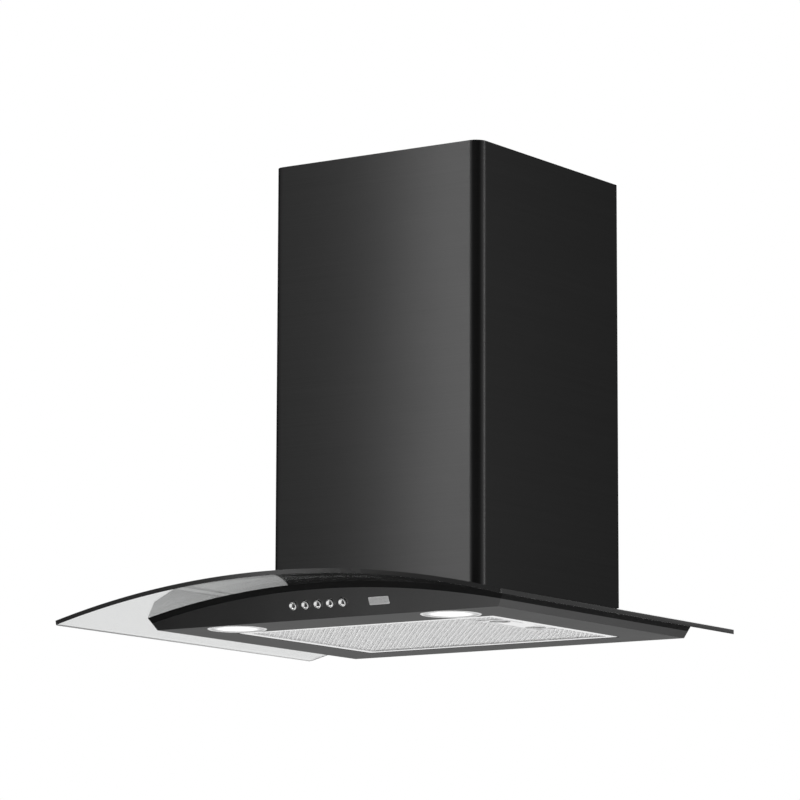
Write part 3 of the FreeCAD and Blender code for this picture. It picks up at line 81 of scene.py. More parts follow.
class Finish:
    """A surface finish or the surroundings, built as nodes."""

    def __init__(self, name, kind="materials"):
        self.material = getattr(bpy.data, kind).new(name)
        self.material.use_nodes = True
        self.tree = self.material.node_tree
        self.tree.nodes.clear()

    def node(self, kind, settings=None, values=None, out=0):
        """Adds one node, sets it up, fills its sockets and gives one of its outputs."""
        made = self.tree.nodes.new(kind)
        for name, setting in (settings or {}).items():
            setattr(made, name, setting)
        pairs = enumerate(values) if isinstance(values, list) else (values or {}).items()
        for key, value in pairs:
            if isinstance(value, Wire):
                self.tree.links.new(value.socket, made.inputs[key])
            else:
                made.inputs[key].default_value = value
        return Wire(self, made.outputs[out])

    def place(self, scale=(1, 1, 1)):
        """Where a point lies on the object, stretched for a pattern."""
        spot = self.node("ShaderNodeTexCoord", out="Object")
        return self.node("ShaderNodeMapping", {}, {"Vector": spot, "Scale": scale})

    def noise(self, size, scale=(1, 1, 1), detail=3.0, roughness=0.5):
        """Cloudy pattern of about this size in metres."""
        return self.node("ShaderNodeTexNoise", {}, {
            "Vector": self.place(scale), "Scale": 1.0 / size, "Detail": detail,
            "Roughness": roughness})

    def spread(self, value, low, high):
        """Turns a 0 to 1 value into a range."""
        return value * (high - low) + low

    def between(self, factor, first, second):
        """Colour between two colours."""
        return self.node("ShaderNodeMix", {"data_type": "RGBA"}, {
            MIX_FACTOR: factor, MIX_FIRST: first, MIX_SECOND: second}, MIX_RESULT)

    def ramp(self, value, low, high):
        """Rises softly from 0 at low to 1 at high."""
        return self.node("ShaderNodeMapRange", {"interpolation_type": "SMOOTHSTEP"}, {
            "Value": value, "From Min": low, "From Max": high})

    def ray(self, kind):
        """Whether the shaded ray is of a kind."""
        return self.node("ShaderNodeLightPath", out=f"Is {kind} Ray")

    def bump(self, height, depth, strength=1.0):
        """Fine relief of this depth in metres."""
        return self.node("ShaderNodeBump", {}, {
            "Strength": strength, "Distance": depth, "Height": height})

    def end(self, surface, volume=None, kind="Material"):
        """Ends the finish in this surface."""
        output = {"Surface": surface}
        if volume is not None:
            output["Volume"] = volume
        last = self.tree.nodes.new(f"ShaderNodeOutput{kind}")
        for name, wire in output.items():
            self.tree.links.new(wire.socket, last.inputs[name])
        return self.material

    def close(self, values):
        """Ends the finish in a principled surface."""
        return self.end(self.node("ShaderNodeBsdfPrincipled", {}, values))


low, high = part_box("lamp_lens_right")
LAMP_SIDE, LAMP_BACK = (low.x + high.x) / 2, -(low.y + high.y) / 2


def grey(level):
    """A neutral colour."""
    return (level, level, level, 1.0)


def black_brushed_sheet():
    """Chimney sheet: black metal, brushed level, with soft cloudy wear."""
    f = Finish("black_brushed_sheet")
    lines = f.noise(0.25, (1, 1, 900), 2.0, 0.6)
    fine = f.noise(0.12, (1, 1, 2600), 2.0, 0.7)
    cloud = f.noise(0.16)
    brush = lines * 0.6 + fine * 0.4
    shade = f.between(brush, grey(0.016), grey(0.036))
    return f.close({
        "Base Color": shade,
        "Metallic": 1.0,
        "Roughness": f.spread(cloud * 0.5 + brush * 0.5, 0.26, 0.36),
        "Normal": f.bump(brush, 0.00003, 0.5),
        "Specular Tint": grey(0.35),
    })


def black_powder_coat():
    """Body sheet: satin black coat over steel, with a fine orange peel."""
    f = Finish("black_powder_coat")
    peel = f.noise(0.0022, detail=2.0)
    cloud = f.noise(0.09)
    return f.close({
        "Base Color": f.between(cloud * 0.7 + peel * 0.3, grey(0.104), grey(0.130)),
        "Metallic": 1.0,
        "Roughness": f.spread(cloud, 0.34, 0.44),
        "Normal": f.bump(peel, 0.00004, 0.35),
        "Specular Tint": grey(0.40),
    })


def canopy_glass():
    """Grey toughened glass: pale through its thickness, its edges matt from grinding and coloured
    near-black as painted shade.
    """
    f = Finish("canopy_glass_grey")
    film = f.noise(0.05)
    way = f.node("ShaderNodeNewGeometry", out="Normal")
    upward = f.node("ShaderNodeSeparateXYZ", {}, [way], "Z")
    edge = 1.0 - f.ramp(upward * upward, 0.72, 0.90)
    volume = f.node("ShaderNodeVolumeAbsorption", {}, {
        "Color": (0.485, 0.50, 0.495, 1), "Density": 104.0})
    clear = f.node("ShaderNodeBsdfPrincipled", {}, {
        "Base Color": grey(1.0),
        "Roughness": f.spread(film, 0.0, 0.012),
        "Transmission Weight": 1.0,
        "IOR": 1.5,
    })
    # Edge faces: matt from grinding, and coloured near-black as painted shade.
    ground_edge_with_painted_shade = f.node("ShaderNodeBsdfPrincipled", {}, {
        "Base Color": f.between(film, grey(0.008), grey(0.014)),
        "Roughness": f.spread(film, 0.22, 0.32),
        "Specular IOR Level": 0.11,
    })
    return f.end(f.node("ShaderNodeMixShader", {}, [edge, clear, ground_edge_with_painted_shade]), volume)


def seal_rubber():
    """Black foam strip under the glass."""
    f = Finish("seal_foam_black")
    cells = f.node("ShaderNodeTexVoronoi", {}, {"Vector": f.place(), "Scale": 1400.0})
    return f.close({
        "Base Color": f.between(cells, grey(0.004), grey(0.009)),
        "Roughness": f.spread(cells, 0.75, 0.92),
        "Specular IOR Level": 0.15,
        "Normal": f.bump(cells, 0.00012, 0.6),
    })


def zinc_plate():
    """Zinc plated screws, washers and pins."""
    f = Finish("zinc_plate_bright")
    cloud = f.noise(0.003)
    scratch = f.noise(0.002, (1, 1, 9))
    return f.close({
        "Base Color": f.between(cloud, (0.50, 0.50, 0.47, 1), (0.66, 0.66, 0.64, 1)),
        "Metallic": 1.0,
        "Roughness": f.spread(scratch, 0.24, 0.42),
        "Normal": f.bump(scratch, 0.00002, 0.4),
    })


def galvanised_sheet():
    """Galvanised box and brackets with a faint spangle."""
    f = Finish("galvanised_spangle")
    spangle = f.node("ShaderNodeTexVoronoi", {"feature": "F1"}, {
        "Vector": f.place(), "Scale": 70.0}, "Color")
    level = f.node("ShaderNodeSeparateColor", {}, {"Color": spangle})
    stain = f.noise(0.05)
    return f.close({
        "Base Color": f.between(
            level * 0.6 + stain * 0.4, (0.36, 0.37, 0.38, 1), (0.58, 0.59, 0.60, 1)),
        "Metallic": 1.0,
        "Roughness": f.spread(level, 0.34, 0.52),
        "Normal": f.bump(level, 0.00004, 0.3),
    })


def moulding(name, dark, pale, grain):
    """Moulded plastic with a spark-eroded grain."""
    f = Finish(name)
    pits = f.noise(grain, detail=3.0, roughness=0.6)
    cloud = f.noise(0.04)
    return f.close({
        "Base Color": f.between(cloud, dark, pale),
        "Roughness": f.spread(pits, 0.42, 0.62),
        "Normal": f.bump(pits, 0.00006, 0.5),
    })


def motor_enamel():
    """Dipped enamel on the motor can."""
    f = Finish("motor_enamel_grey")
    runs = f.noise(0.01, (1, 1, 0.3))
    return f.close({
        "Base Color": f.between(runs, grey(0.045), grey(0.09)),
        "Roughness": f.spread(runs, 0.28, 0.45),
        "Coat Weight": 0.3,
        "Normal": f.bump(runs, 0.0001, 0.3),
    })


def satin_plate():
    """Satin plated rings and the blank plate, brushed level."""
    f = Finish("satin_plate_brushed")
    brush = f.noise(0.01, (1, 1, 60), 3.0, 0.65)
    return f.close({
        "Base Color": f.between(brush, grey(0.70), grey(0.88)),
        "Metallic": 0.6,
        "Roughness": f.spread(brush, 0.22, 0.38),
        "Normal": f.bump(brush, 0.00002, 0.4),
    })


def turned_cap_metal():
    """Push buttons: turned and plated, with a trace of the tool's rings."""
    f = Finish("turned_cap_metal")
    mark = f.noise(0.0012, (1, 1, 6))
    return f.close({
        "Base Color": f.between(mark, grey(0.62), grey(0.82)),
        "Metallic": 1.0,
        "Roughness": f.spread(mark, 0.12, 0.24),
        "Normal": f.bump(mark, 0.00001, 0.4),
    })


def lit_lens():
    """Frosted lamp lens, lit from behind."""
    f = Finish("lamp_lens_frosted")
    frost = f.noise(0.0012, detail=2.0)
    spot = f.node("ShaderNodeTexCoord", out="Object")
    across = f.node("ShaderNodeSeparateXYZ", {}, [spot])
    along = f.node("ShaderNodeSeparateXYZ", {}, [spot], "Y")
    off = f.node("ShaderNodeMath", {"operation": "ABSOLUTE"}, [across]) - LAMP_SIDE
    away = (off * off + (along + LAMP_BACK) * (along + LAMP_BACK)) ** 0.5
    glow = f.between(f.ramp(away, 0.012, 0.029) * 0.9 + frost * 0.1, grey(1.0), grey(0.05))
    return f.close({
        "Base Color": grey(0.5),
        "Specular IOR Level": 0.2,
        "Roughness": f.spread(frost, 0.4, 0.6),
        "Emission Color": glow,
        "Emission Strength": 1.6,
        "Normal": f.bump(frost, 0.0001, 0.4),
    })


def filter_aluminium(name, grain):
    """Grease filter metal: bright aluminium with a drawn grain."""
    f = Finish(name)
    drawn = f.noise(0.004, grain, 3.0, 0.6)
    cloud = f.noise(0.03)
    return f.close({
        "Base Color": f.between(drawn * 0.6 + cloud * 0.4, grey(0.88), grey(0.98)),
        "Metallic": 1.0,
        "Roughness": f.spread(drawn, 0.30, 0.46),
        "Normal": f.bump(drawn, 0.00003, 0.5),
    })


def crimped_foil():
    """Crimped aluminium foil between the meshes."""
    f = Finish("crimped_foil_bright")
    creases = f.node("ShaderNodeTexWave", {"wave_type": "BANDS"}, {
        "Vector": f.place(), "Scale": 130.0, "Distortion": 6.0, "Detail": 2.0})
    return f.close({
        # Painted shade: the colour follows the crease relief, darker in its hollows.
        "Base Color": f.between(creases, grey(0.80), grey(0.96)),
        "Metallic": 0.9,
        "Roughness": f.spread(creases, 0.32, 0.5),
        "Normal": f.bump(creases, 0.0002, 0.5),
    })


finish = {
    "chimney": black_brushed_sheet(),
    "body": black_powder_coat(),
    "glass": canopy_glass(),
    "seal": seal_rubber(),
    "zinc": zinc_plate(),
    "galvanised": galvanised_sheet(),
    "black_plastic": moulding("black_moulding", grey(0.016), grey(0.026), 0.0009),
    "pale_plastic": moulding("pale_moulding", (0.60, 0.60, 0.57, 1), (0.72, 0.72, 0.70, 1), 0.0008),
    "enamel": motor_enamel(),
    "plate": satin_plate(),
    "cap": turned_cap_metal(),
    "lens": lit_lens(),
    "filter": filter_aluminium("filter_aluminium_drawn", (1, 7, 1)),
    "strand": filter_aluminium("filter_strand_bright", (3, 1, 1)),
    "foil": crimped_foil(),
}

for finish_name, covered in {
    "body": "underside_pan front_fascia left_side_panel right_side_panel rear_panel top_plate",
    "chimney": "lower_chimney_cover upper_chimney_cover",
    "glass": "glass_canopy",
    "seal": "glass_seal glass_bushes",
    "zinc": "glass_washers glass_screws glass_nuts box_screws flap_pin motor_shaft",
    "galvanised": "cover_brackets blower_box hanging_plate motor_bracket capacitor_clamp"
                  " duct_collar flap_front flap_rear",
    "black_plastic": "scroll_casing_left scroll_casing_right inlet_ring impeller terminal_box"
                     " terminal_lid cable_gland switch_bank",
    "pale_plastic": "run_capacitor lamp_body_left lamp_body_right",
    "enamel": "blower_motor",
    "plate": "lamp_bezel_left lamp_bezel_right blank_plate",
    "cap": "button_1 button_2 button_3 button_4 button_5",
    "lens": "lamp_lens_left lamp_lens_right",
    "filter": "filter_frame latch_cup latch_slider filter_mesh_upper filter_mesh_lower",
    "foil": "filter_pad_main filter_pad_front filter_pad_rear",
}.items():
    for node_name in covered.split():
        for material_slot in nodes[node_name].material_slots:
            material_slot.material = finish[finish_name]


# ---------------------------------------------------------------- modelling

def only(piece):
    """Leaves one piece selected and active."""
    if bpy.context.mode != "OBJECT":
        bpy.ops.object.mode_set(mode="OBJECT")
    bpy.ops.object.select_all(action="DESELECT")
    piece.select_set(True)
    bpy.context.view_layer.objects.active = piece


def added(name):
    """Names the primitive just added."""
    piece = bpy.context.active_object
    piece.name = name
    piece.data.name = name
    only(piece)
    return piece


def settle(piece):
    """Puts a piece's place, turn and scale into its mesh."""
    only(piece)
    bpy.ops.object.transform_apply(location=True, rotation=True, scale=True)


def edit(piece, kind="VERT"):
    """Opens a piece's mesh with everything selected."""
    only(piece)
    bpy.ops.object.mode_set(mode="EDIT")
    bpy.ops.mesh.select_mode(type=kind)
    bpy.ops.mesh.select_all(action="SELECT")


def choose(piece, kind, test):
    """Opens a piece's mesh with only the corners, edges or faces selected that pass a test."""
    only(piece)
    mesh = piece.data
    for group in (mesh.vertices, mesh.edges, mesh.polygons):
        group.foreach_set("select", [False] * len(group))
    bpy.context.tool_settings.mesh_select_mode = (kind == "VERT", kind == "EDGE", kind == "FACE")
    if kind == "VERT":
        for corner in mesh.vertices:
            corner.select = test(corner.co)
    elif kind == "EDGE":
        for edge in mesh.edges:
            first, second = (mesh.vertices[number].co for number in edge.vertices)
            edge.select = test(first, second)
            if edge.select:
                for number in edge.vertices:
                    mesh.vertices[number].select = True
    else:
        for face in mesh.polygons:
            face.select = test(face)
    bpy.ops.object.mode_set(mode="EDIT")


def finish_mesh(piece, angle=32):
    """Merges doubles, turns the faces outwards and shades the piece."""
    edit(piece)
    bpy.ops.mesh.remove_doubles(threshold=0.000001)
    bpy.ops.mesh.select_all(action="SELECT")
    bpy.ops.mesh.normals_make_consistent(inside=False)
    bpy.ops.object.mode_set(mode="OBJECT")
    bpy.ops.object.shade_smooth_by_angle(angle=math.radians(angle))


def apply(piece, kind, **settings):
    """Adds a modifier and applies it."""
    only(piece)
    modifier = piece.modifiers.new(kind.title(), kind)
    for name, setting in settings.items():
        setattr(modifier, name, setting)
    bpy.ops.object.modifier_apply(modifier=modifier.name)


def cut_with(piece, cutter):
    """Takes a cutter's space out of a piece and removes the cutter."""
    apply(piece, "BOOLEAN", operation="DIFFERENCE", object=cutter, solver="EXACT")
    bpy.data.objects.remove(cutter, do_unlink=True)


def turned(name, outline, steps=48):
    """A piece turned about its own Z: a corner drawn along the outline, then spun."""
    bpy.ops.mesh.primitive_plane_add(size=0.01)
    piece = added(name)
    edit(piece)
    bpy.ops.mesh.merge(type="CENTER")
    radius, height = outline[0]
    bpy.ops.transform.translate(value=(radius, 0, height))
    for next_radius, next_height in outline[1:]:
        bpy.ops.mesh.extrude_vertices_move(
            TRANSFORM_OT_translate={"value": (next_radius - radius, 0, next_height - height)})
        radius, height = next_radius, next_height
    bpy.ops.mesh.select_all(action="SELECT")
    bpy.ops.mesh.spin(steps=steps, angle=2 * math.pi, center=(0, 0, 0), axis=(0, 0, 1))
    finish_mesh(piece)
    return piece


def dress(piece, finish_name, slot, body, *replaced):
    """Gives a piece its finish, the body it moves with and the nodes it stands for; the slot is not
    used.
    """
    piece.data.materials.clear()
    piece.data.materials.append(finish[finish_name])
    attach(piece, body)
    if replaced:
        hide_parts(*replaced)


# ---------------------------------------------------------------- glass canopy

CANOPY_RISE = 0.038
CANOPY_THICKNESS = 0.005
FRONT_CORNER_RADIUS = 0.006
REAR_CORNER_CUT = 0.0015
CORNER_CUTTER_SIZE = 0.1
NOTCH_CORNER_RADIUS = 0.010
FIXING_ANGLE = math.radians(6.15)
FIXING_BACKS = (0.236, 0.062)
FIXING_HOLE_RADIUS = 0.005

canopy_low, canopy_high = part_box("glass_canopy")
canopy_half = canopy_high.x
canopy_radius = (canopy_half ** 2 + CANOPY_RISE ** 2) / (2 * CANOPY_RISE)
canopy_centre = canopy_high.z - canopy_radius


def canopy_spot(angle, back):
    """A point on top of the glass."""
    return Vector((
        canopy_radius * math.sin(angle), -back, canopy_centre + canopy_radius * math.cos(angle)))


def make_canopy_sheet():
    """The arched sheet: a strip spun about the arch's axis, notched, drilled and bevelled."""
    depth = canopy_high.y - canopy_low.y
    middle = (canopy_high.y + canopy_low.y) / 2
    sweep = math.asin(canopy_half / canopy_radius) + 0.004
    inside = canopy_radius - CANOPY_THICKNESS / 2
    start = (-inside * math.sin(sweep), middle, canopy_centre + inside * math.cos(sweep))
    bpy.ops.mesh.primitive_plane_add(size=1, location=start, rotation=(0, math.pi / 2 - sweep, 0))
    sheet = added("canopy_sheet")
    sheet.scale = (CANOPY_THICKNESS, depth, 1)
    settle(sheet)
    edit(sheet, "FACE")
    bpy.ops.mesh.spin(
        steps=120, angle=2 * sweep, center=(0, middle, canopy_centre), axis=(0, -1, 0))
    bpy.ops.mesh.select_all(action="SELECT")
    bpy.ops.mesh.remove_doubles(threshold=0.000001)
    for side in (-1, 1):
        bpy.ops.mesh.select_all(action="SELECT")
        bpy.ops.mesh.bisect(plane_co=(side * canopy_half, 0, 0), plane_no=(side, 0, 0),
                            use_fill=True, clear_outer=True)
    finish_mesh(sheet)
    choose(sheet, "EDGE", lambda a, b: min(abs(a.x), abs(b.x)) > canopy_half - 0.0001
           and max(a.y, b.y) < canopy_low.y + 0.0001 and abs(a.z - b.z) > 0.003)
    bpy.ops.mesh.bevel(offset=FRONT_CORNER_RADIUS, segments=6, affect="EDGES")
    bpy.ops.object.mode_set(mode="OBJECT")
    bpy.ops.mesh.primitive_cube_add(size=1, location=(0, -0.07, 0.02))
    notch = added("notch_cutter")
    notch.scale = (0.232, 0.4, 0.2)
    settle(notch)
    choose(notch, "EDGE", lambda a, b: max(a.y, b.y) < -0.26 and abs(a.z - b.z) > 0.1)
    bpy.ops.mesh.bevel(offset=NOTCH_CORNER_RADIUS, segments=8, affect="EDGES")
    bpy.ops.object.mode_set(mode="OBJECT")
    cut_with(sheet, notch)
    reach = 0.03536 - REAR_CORNER_CUT
    for side in (-1, 1):
        bpy.ops.mesh.primitive_cube_add(
            size=CORNER_CUTTER_SIZE, location=(side * (canopy_half + reach), reach, 0.0),
            rotation=(0, 0, math.radians(45)))
        corner = added("corner_cutter")
        settle(corner)
        cut_with(sheet, corner)
    for side in (-1, 1):
        for back in FIXING_BACKS:
            spot = canopy_spot(side * FIXING_ANGLE, back)
            bpy.ops.mesh.primitive_cylinder_add(
                vertices=32, radius=FIXING_HOLE_RADIUS, depth=0.03,
                location=spot - Vector((0, 0, CANOPY_THICKNESS / 2)))
            drill = added("hole_cutter")
            settle(drill)
            cut_with(sheet, drill)
    apply(sheet, "BEVEL", width=0.0006, segments=2, limit_method="ANGLE",
          angle_limit=math.radians(40))
    finish_mesh(sheet)
    dress(sheet, "glass", "canopy_glass", "hood", "glass_canopy")


make_canopy_sheet()


# ---------------------------------------------------------------- buttons and plate

FASCIA_LEAN = math.radians(24)
FASCIA_FOOT = -0.398
BUTTON_UP = 0.0175
PLATE_SIDE, PLATE_UP = 0.080, 0.0165
PLATE_WIDTH, PLATE_HEIGHT, PLATE_THICKNESS = 0.0266, 0.009, 0.0008


def fascia_spot(x, up, out=0.0):
    """A point on the fascia, at a distance up its slope and proud of it."""
    return Vector((
        x,
        FASCIA_FOOT - up * math.sin(FASCIA_LEAN) - out * math.cos(FASCIA_LEAN),
        up * math.cos(FASCIA_LEAN) - out * math.sin(FASCIA_LEAN)))


def stand_on_fascia(piece, x, up):
    """Moves a piece made upright at the origin so that its Z points out of the fascia."""
    piece.location = fascia_spot(x, up)
    piece.rotation_euler = (math.pi / 2 + FASCIA_LEAN, 0, 0)
    settle(piece)


def make_push_caps():
    """Five turned caps with a rolled rim and a dished face."""
    for number in range(1, 6):
        low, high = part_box(f"button_{number}")
        middle = (low.x + high.x) / 2
        cap = turned(f"push_cap_{number}", [
            (0.0, -0.0120), (0.0017, -0.0120), (0.0020, -0.0117), (0.0020, -0.0040),
            (0.0046, -0.0040), (0.0048, -0.0038), (0.0048, 0.0016), (0.0047, 0.0023),
            (0.0044, 0.0027), (0.0040, 0.0029), (0.0036, 0.00285), (0.0033, 0.0026),
            (0.0030, 0.0023), (0.0024, 0.0020), (0.0015, 0.0018), (0.0, 0.0017)], 40)
        stand_on_fascia(cap, middle, BUTTON_UP)
        dress(cap, "cap", "button_metal", f"push_button_{number}", f"button_{number}")


def make_bare_plate():
    """Plain rounded plate with a bevelled rim."""
    bpy.ops.mesh.primitive_cube_add(size=1)
    plate = added("bare_fascia_plate")
    plate.scale = (PLATE_WIDTH, PLATE_HEIGHT, PLATE_THICKNESS)
    plate.location = (0, 0, PLATE_THICKNESS / 2)
    settle(plate)
    choose(plate, "EDGE", lambda a, b: abs(a.z - b.z) > 0.0005)
    bpy.ops.mesh.bevel(offset=0.001, segments=5, affect="EDGES")
    choose(plate, "FACE", lambda face: face.normal.z > 0.9)
    bpy.ops.mesh.inset(thickness=0.0007, depth=0)
    bpy.ops.mesh.inset(thickness=0.0002, depth=-0.00015)
    bpy.ops.object.mode_set(mode="OBJECT")
    apply(plate, "BEVEL", width=0.00012, segments=2, limit_method="ANGLE",
          angle_limit=math.radians(40))
    finish_mesh(plate)
    stand_on_fascia(plate, PLATE_SIDE, PLATE_UP)
    dress(plate, "plate", "satin_metal", "hood", "blank_plate")


make_push_caps()
make_bare_plate()


# ---------------------------------------------------------------- lamps

def make_lamps():
    """Rolled lamp rings, and lenses with shallow rings pressed into them."""
    for side in ("left", "right"):
        low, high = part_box(f"lamp_bezel_{side}")
        lens_low, lens_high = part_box(f"lamp_lens_{side}")
        spot = ((low.x + high.x) / 2, (low.y + high.y) / 2, 0)
        rim, edge = (high.x - low.x) / 2, (lens_high.x - lens_low.x) / 2
        bore, sleeve = edge + 0.0002, edge + 0.0015
        ring = turned(f"lamp_ring_{side}", [
            (bore, 0.0120), (bore, -0.0002), (bore + 0.0002, -0.0006), (bore + 0.0007, -0.0008),
            (rim - 0.0014, -0.0008), (rim - 0.0005, -0.0006), (rim - 0.0001, -0.0003), (rim, 0.0),
            (sleeve, 0.0), (sleeve, 0.0120), (bore, 0.0120)], 72)
        ring.location = spot
        settle(ring)
        dress(ring, "plate", "satin_metal", "hood", f"lamp_bezel_{side}")
        outline = [(0.0, lens_low.z + 0.0002)]
        for ridge in range(1, 9):
            outline.append((0.0034 * ridge, lens_low.z + (0.0002 if ridge % 2 else 0.0005)))
        outline += [(edge - 0.0011, lens_low.z), (edge - 0.0004, lens_low.z + 0.0002),
                    (edge, lens_low.z + 0.0008), (edge, lens_high.z), (0.0, lens_high.z)]
        lens = turned(f"lamp_lens_pressed_{side}", outline, 64)
        lens.location = spot
        settle(lens)
        dress(lens, "lens", "lit_lens", "hood", f"lamp_lens_{side}")


make_lamps()


# ---------------------------------------------------------------- grease filter

STRAND_PITCH, STRAND_ROW = 0.0072, 0.0090
STRAND_WIDTH, STRAND_THICKNESS, STRAND_LAP = 0.0012, 0.0003, 0.0010
STRAND_SIDE_MARGIN, STRAND_END_MARGIN = 0.0015, 0.001
FOIL_PITCH_ACROSS, FOIL_PITCH_ALONG = 0.0028, 0.0032
FOIL_LIFT, FOIL_PRESS, FOIL_THICKNESS = 0.0012, 0.0009, 0.0003


def joined(pieces, name):
    """Joins pieces into one."""
    only(pieces[0])
    for piece in pieces[1:]:
        piece.select_set(True)
    bpy.ops.object.join()
    return added(name)


def laid_out(piece, count, spacing):
    """Repeats a piece in a row."""
    apply(piece, "ARRAY", count=count, use_relative_offset=False, use_constant_offset=True,
          constant_offset_displace=spacing)


def make_strand_field(low, high, floor):
    """Expanded sheet over one field of the filter: zigzag strands that meet their neighbours."""
    pairs = max(1, round((high.x - low.x) / STRAND_PITCH))
    rows = max(1, round((high.y - low.y) / STRAND_ROW))
    pitch = (high.x - low.x - 2 * STRAND_SIDE_MARGIN) / pairs / 2
    step = (high.y - low.y - 2 * STRAND_END_MARGIN) / rows
    lean = math.atan2(pitch - STRAND_LAP, step / 2)
    bars = []
    for column, row, turn in ((0, 0, 1), (0, 1, -1), (1, 0, -1), (1, 1, 1)):
        bpy.ops.mesh.primitive_cube_add(size=1)
        bar = added("strand_half")
        bar.scale = (STRAND_WIDTH, step / 2 / math.cos(lean), STRAND_THICKNESS)
        bar.rotation_euler = (0, 0, turn * lean)
        bar.location = (low.x + STRAND_SIDE_MARGIN + (column + 0.5) * pitch,
                        low.y + STRAND_END_MARGIN + (row + 0.5) * step / 2,
                        floor + STRAND_THICKNESS / 2)
        settle(bar)
        bars.append(bar)
    field = joined(bars, "strand_field")
    laid_out(field, rows, (0, step, 0))
    laid_out(field, pairs, (2 * pitch, 0, 0))
    return field


def make_foil_field(name, low, high):
    """Crimped foil: a fine grid with every second corner pressed down."""
    across = round((high.x - low.x) / FOIL_PITCH_ACROSS)
    along = round((high.y - low.y) / FOIL_PITCH_ALONG)
    bpy.ops.mesh.primitive_grid_add(
        x_subdivisions=across, y_subdivisions=along, size=1,
        location=((low.x + high.x) / 2, (low.y + high.y) / 2, low.z + FOIL_LIFT))
    foil = added(name)
    foil.scale = (high.x - low.x, high.y - low.y, 1)
    settle(foil)
    choose(foil, "VERT", lambda spot: (
        round((spot.x - low.x) / (high.x - low.x) * across)
        + round((spot.y - low.y) / (high.y - low.y) * along)) % 2 == 0)
    bpy.ops.transform.translate(value=(0, 0, -FOIL_PRESS))
    bpy.ops.object.mode_set(mode="OBJECT")
    apply(foil, "SOLIDIFY", thickness=FOIL_THICKNESS, offset=1)
    finish_mesh(foil, 12)
    return foil


def make_filter_layers():
    """The lower expanded sheet and the three foil pads above it."""
    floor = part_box("filter_mesh_lower")[0].z
    fields = []
    for name in ("main", "front", "rear"):
        low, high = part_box(f"filter_pad_{name}")
        fields.append(make_strand_field(low, high, floor))
        foil = make_foil_field(f"crimped_foil_{name}", low, high)
        dress(foil, "foil", "filter_aluminium", "grease_filter", f"filter_pad_{name}")
    strands = joined(fields, "filter_strands")
    dress(strands, "strand", "filter_aluminium", "grease_filter", "filter_mesh_lower")


make_filter_layers()


# ---------------------------------------------------------------- screws on the glass

WASHER_THICKNESS = 0.0015
SCREW_HEAD_HEIGHT = 0.0026


def make_canopy_screws():
    """Four pan-head screws with a cross recess, standing on their washers."""
    heads = []
    for side in (-1, 1):
        for back in FIXING_BACKS:
            angle = side * FIXING_ANGLE
            screw = turned("canopy_screw", [
                (0.0, -0.020), (0.0016, -0.020), (0.0020, -0.0195), (0.0020, 0.0),
                (0.0038, 0.0), (0.0040, 0.0003), (0.0039, 0.0012), (0.0034, 0.0020),
                (0.0024, 0.0025), (0.0, SCREW_HEAD_HEIGHT)], 32)
            for turn in (0, 90):
                bpy.ops.mesh.primitive_cube_add(
                    size=1, location=(0, 0, SCREW_HEAD_HEIGHT),
                    rotation=(0, 0, math.radians(turn)))
                slot = added("cross_cutter")
                slot.scale = (0.0040, 0.0008, 0.0026)
                settle(slot)
                cut_with(screw, slot)
            spot = canopy_spot(angle, back)
            outward = Vector((math.sin(angle), 0, math.cos(angle)))
            screw.location = spot + outward * WASHER_THICKNESS
            screw.rotation_euler = (0, angle, 0)
            settle(screw)
            heads.append(screw)
    screws = joined(heads, "canopy_screws")
    finish_mesh(screws)
    dress(screws, "zinc", "zinc_hardware", "hood", "glass_screws")


make_canopy_screws()


# ---------------------------------------------------------------- floor, light and camera

FLOOR_HEIGHT = -0.9
FLOOR_SIZE = 60
FLOOR_GLOW = 0.45
SOFT_LIGHT = 0.55
DARK_SIDE = (0.56, -0.83, 0.0)
PICTURE_WIDTH = 800.0
SENSOR_WIDTH = 36.0
FOCAL_PIXELS = 4145.4
CAMERA_DISTANCE = 4.78


def make_floor():
    """Plain pale floor below the hood, clear from its underside. Gloss sees it fade to dark at the
    front left and the back right."""
    bpy.ops.object.select_all(action="DESELECT")
    bpy.ops.mesh.primitive_plane_add(size=FLOOR_SIZE, location=(0, 0, FLOOR_HEIGHT))
    floor = added("pale_floor")
    settle(floor)
    f = Finish("floor_pale")
    seen = f.node("ShaderNodeClamp", {}, [
        f.ray("Camera") + f.ray("Glossy") + f.ray("Transmission")])
    cloud = f.noise(0.6)
    diffuse = f.node("ShaderNodeBsdfDiffuse", {}, {
        "Color": f.between(cloud, grey(0.80), grey(0.84))})
    glow = f.node("ShaderNodeEmission", {}, {"Color": grey(1.0), "Strength": seen * FLOOR_GLOW})
    both = f.node("ShaderNodeAddShader", {}, [diffuse, glow])
    spot = f.node("ShaderNodeTexCoord", out="Object")
    across = f.node("ShaderNodeSeparateXYZ", {}, [spot])
    along = f.node("ShaderNodeSeparateXYZ", {}, [spot], "Y")
    front_left = f.ramp(across, -0.50, -0.76) * f.ramp(along, 0.3, -0.2)
    back_right = f.ramp(across, 0.3, 0.6) * f.ramp(along, 1.0, 1.75) * 0.6
    shade = (front_left + back_right) * f.ray("Glossy")
    dark = f.node("ShaderNodeEmission", {}, {"Color": grey(0.05)})
    top = f.node("ShaderNodeMixShader", {}, [shade, both, dark])
    under = f.node("ShaderNodeBsdfTransparent")
    turned_away = f.node("ShaderNodeNewGeometry", out="Backfacing")
    floor.data.materials.append(f.end(f.node("ShaderNodeMixShader", {}, [turned_away, top, under])))


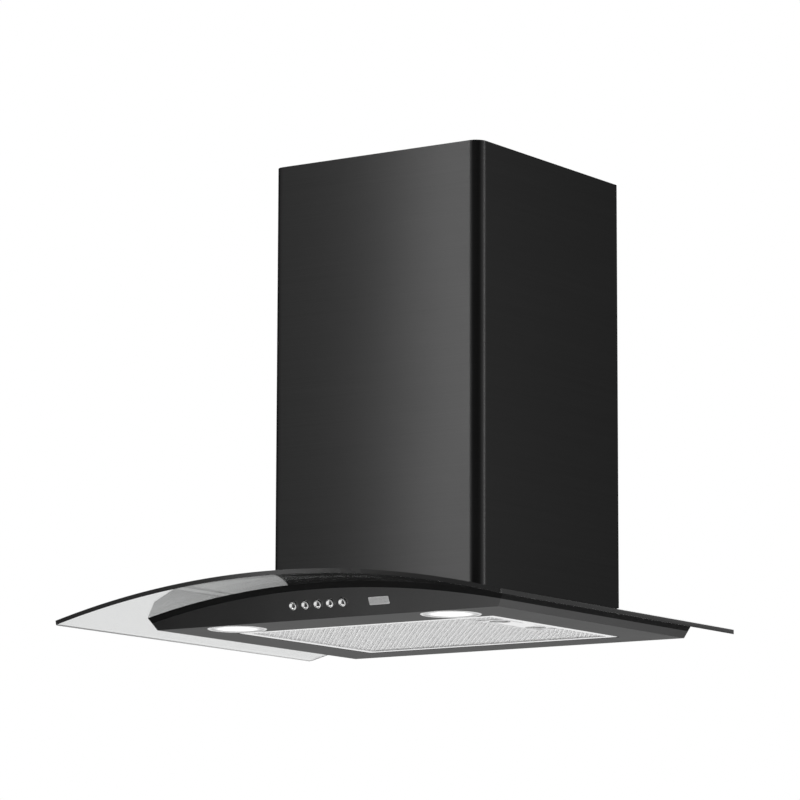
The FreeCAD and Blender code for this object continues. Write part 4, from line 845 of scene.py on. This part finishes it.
def make_sky():
    """White surroundings for the eye and for glass, white with one dark side for gloss, and
    softer ones for the light they give."""
    f = Finish("studio_white", "worlds")
    bpy.context.scene.world = f.material
    seen = f.node("ShaderNodeClamp", {}, [f.ray("Camera") + f.ray("Transmission")])
    way = f.node("ShaderNodeTexCoord", out="Generated")
    towards = f.node("ShaderNodeVectorMath", {"operation": "DOT_PRODUCT"}, [way, DARK_SIDE], "Value")
    gloss = 1.0 - f.ramp(towards, 0.45, 0.85) * 0.95
    given = f.ray("Glossy") * (gloss - SOFT_LIGHT) + SOFT_LIGHT
    strength = seen * (1.0 - given) + given
    sky = f.node("ShaderNodeBackground", {}, {"Color": grey(1.0), "Strength": strength})
    f.end(sky, kind="World")


def make_lamp_light(name, place, aim, width, height, power):
    """A soft rectangular lamp that the eye sees neither directly nor through glass."""
    light = bpy.data.lights.new(name, "AREA")
    light.shape = "RECTANGLE"
    light.size = width
    light.size_y = height
    light.energy = power
    lamp = bpy.data.objects.new(name, light)
    bpy.context.scene.collection.objects.link(lamp)
    lamp.visible_camera = False
    lamp.visible_transmission = False
    lamp.location = place
    lamp.rotation_euler = (Vector(aim) - Vector(place)).to_track_quat("-Z", "Y").to_euler()


def make_camera():
    """The photograph's view: from the right and below, looking a little up."""
    turn, pitch, roll = math.radians(34.17), math.radians(9.18), math.radians(0.18)
    forward = Vector((
        -math.sin(turn) * math.cos(pitch), math.cos(turn) * math.cos(pitch), math.sin(pitch)))
    level = Vector((math.cos(turn), math.sin(turn), 0))
    upright = level.cross(forward)
    right = level * math.cos(roll) + upright * math.sin(roll)
    up = upright * math.cos(roll) - level * math.sin(roll)
    target = Vector((0.00199, -0.250, 0.26664))
    data = bpy.data.cameras.new("photo_view")
    data.sensor_width = SENSOR_WIDTH
    data.lens = FOCAL_PIXELS * SENSOR_WIDTH / PICTURE_WIDTH
    data.clip_end = 200.0
    camera = bpy.data.objects.new("photo_view", data)
    bpy.context.scene.collection.objects.link(camera)
    spot = target - forward * CAMERA_DISTANCE
    camera.matrix_world = Matrix((
        (right.x, up.x, -forward.x, spot.x),
        (right.y, up.y, -forward.y, spot.y),
        (right.z, up.z, -forward.z, spot.z),
        (0, 0, 0, 1)))
    bpy.context.scene.camera = camera


make_floor()
make_sky()
make_lamp_light("front_strip", (-0.19, -0.79, 0.46), (0.14, -0.30, 0.46), 0.10, 0.92, 2.25)
make_lamp_light("side_strip", (1.37, 0.41, 0.40), (0.15, -0.20, 0.30), 0.22, 1.2, 5.6)
make_lamp_light("high_soft", (0.6, -1.6, 2.2), (0, -0.25, 0.2), 1.6, 1.6, 22)
make_camera()
bpy.context.scene.view_settings.view_transform = "Standard"
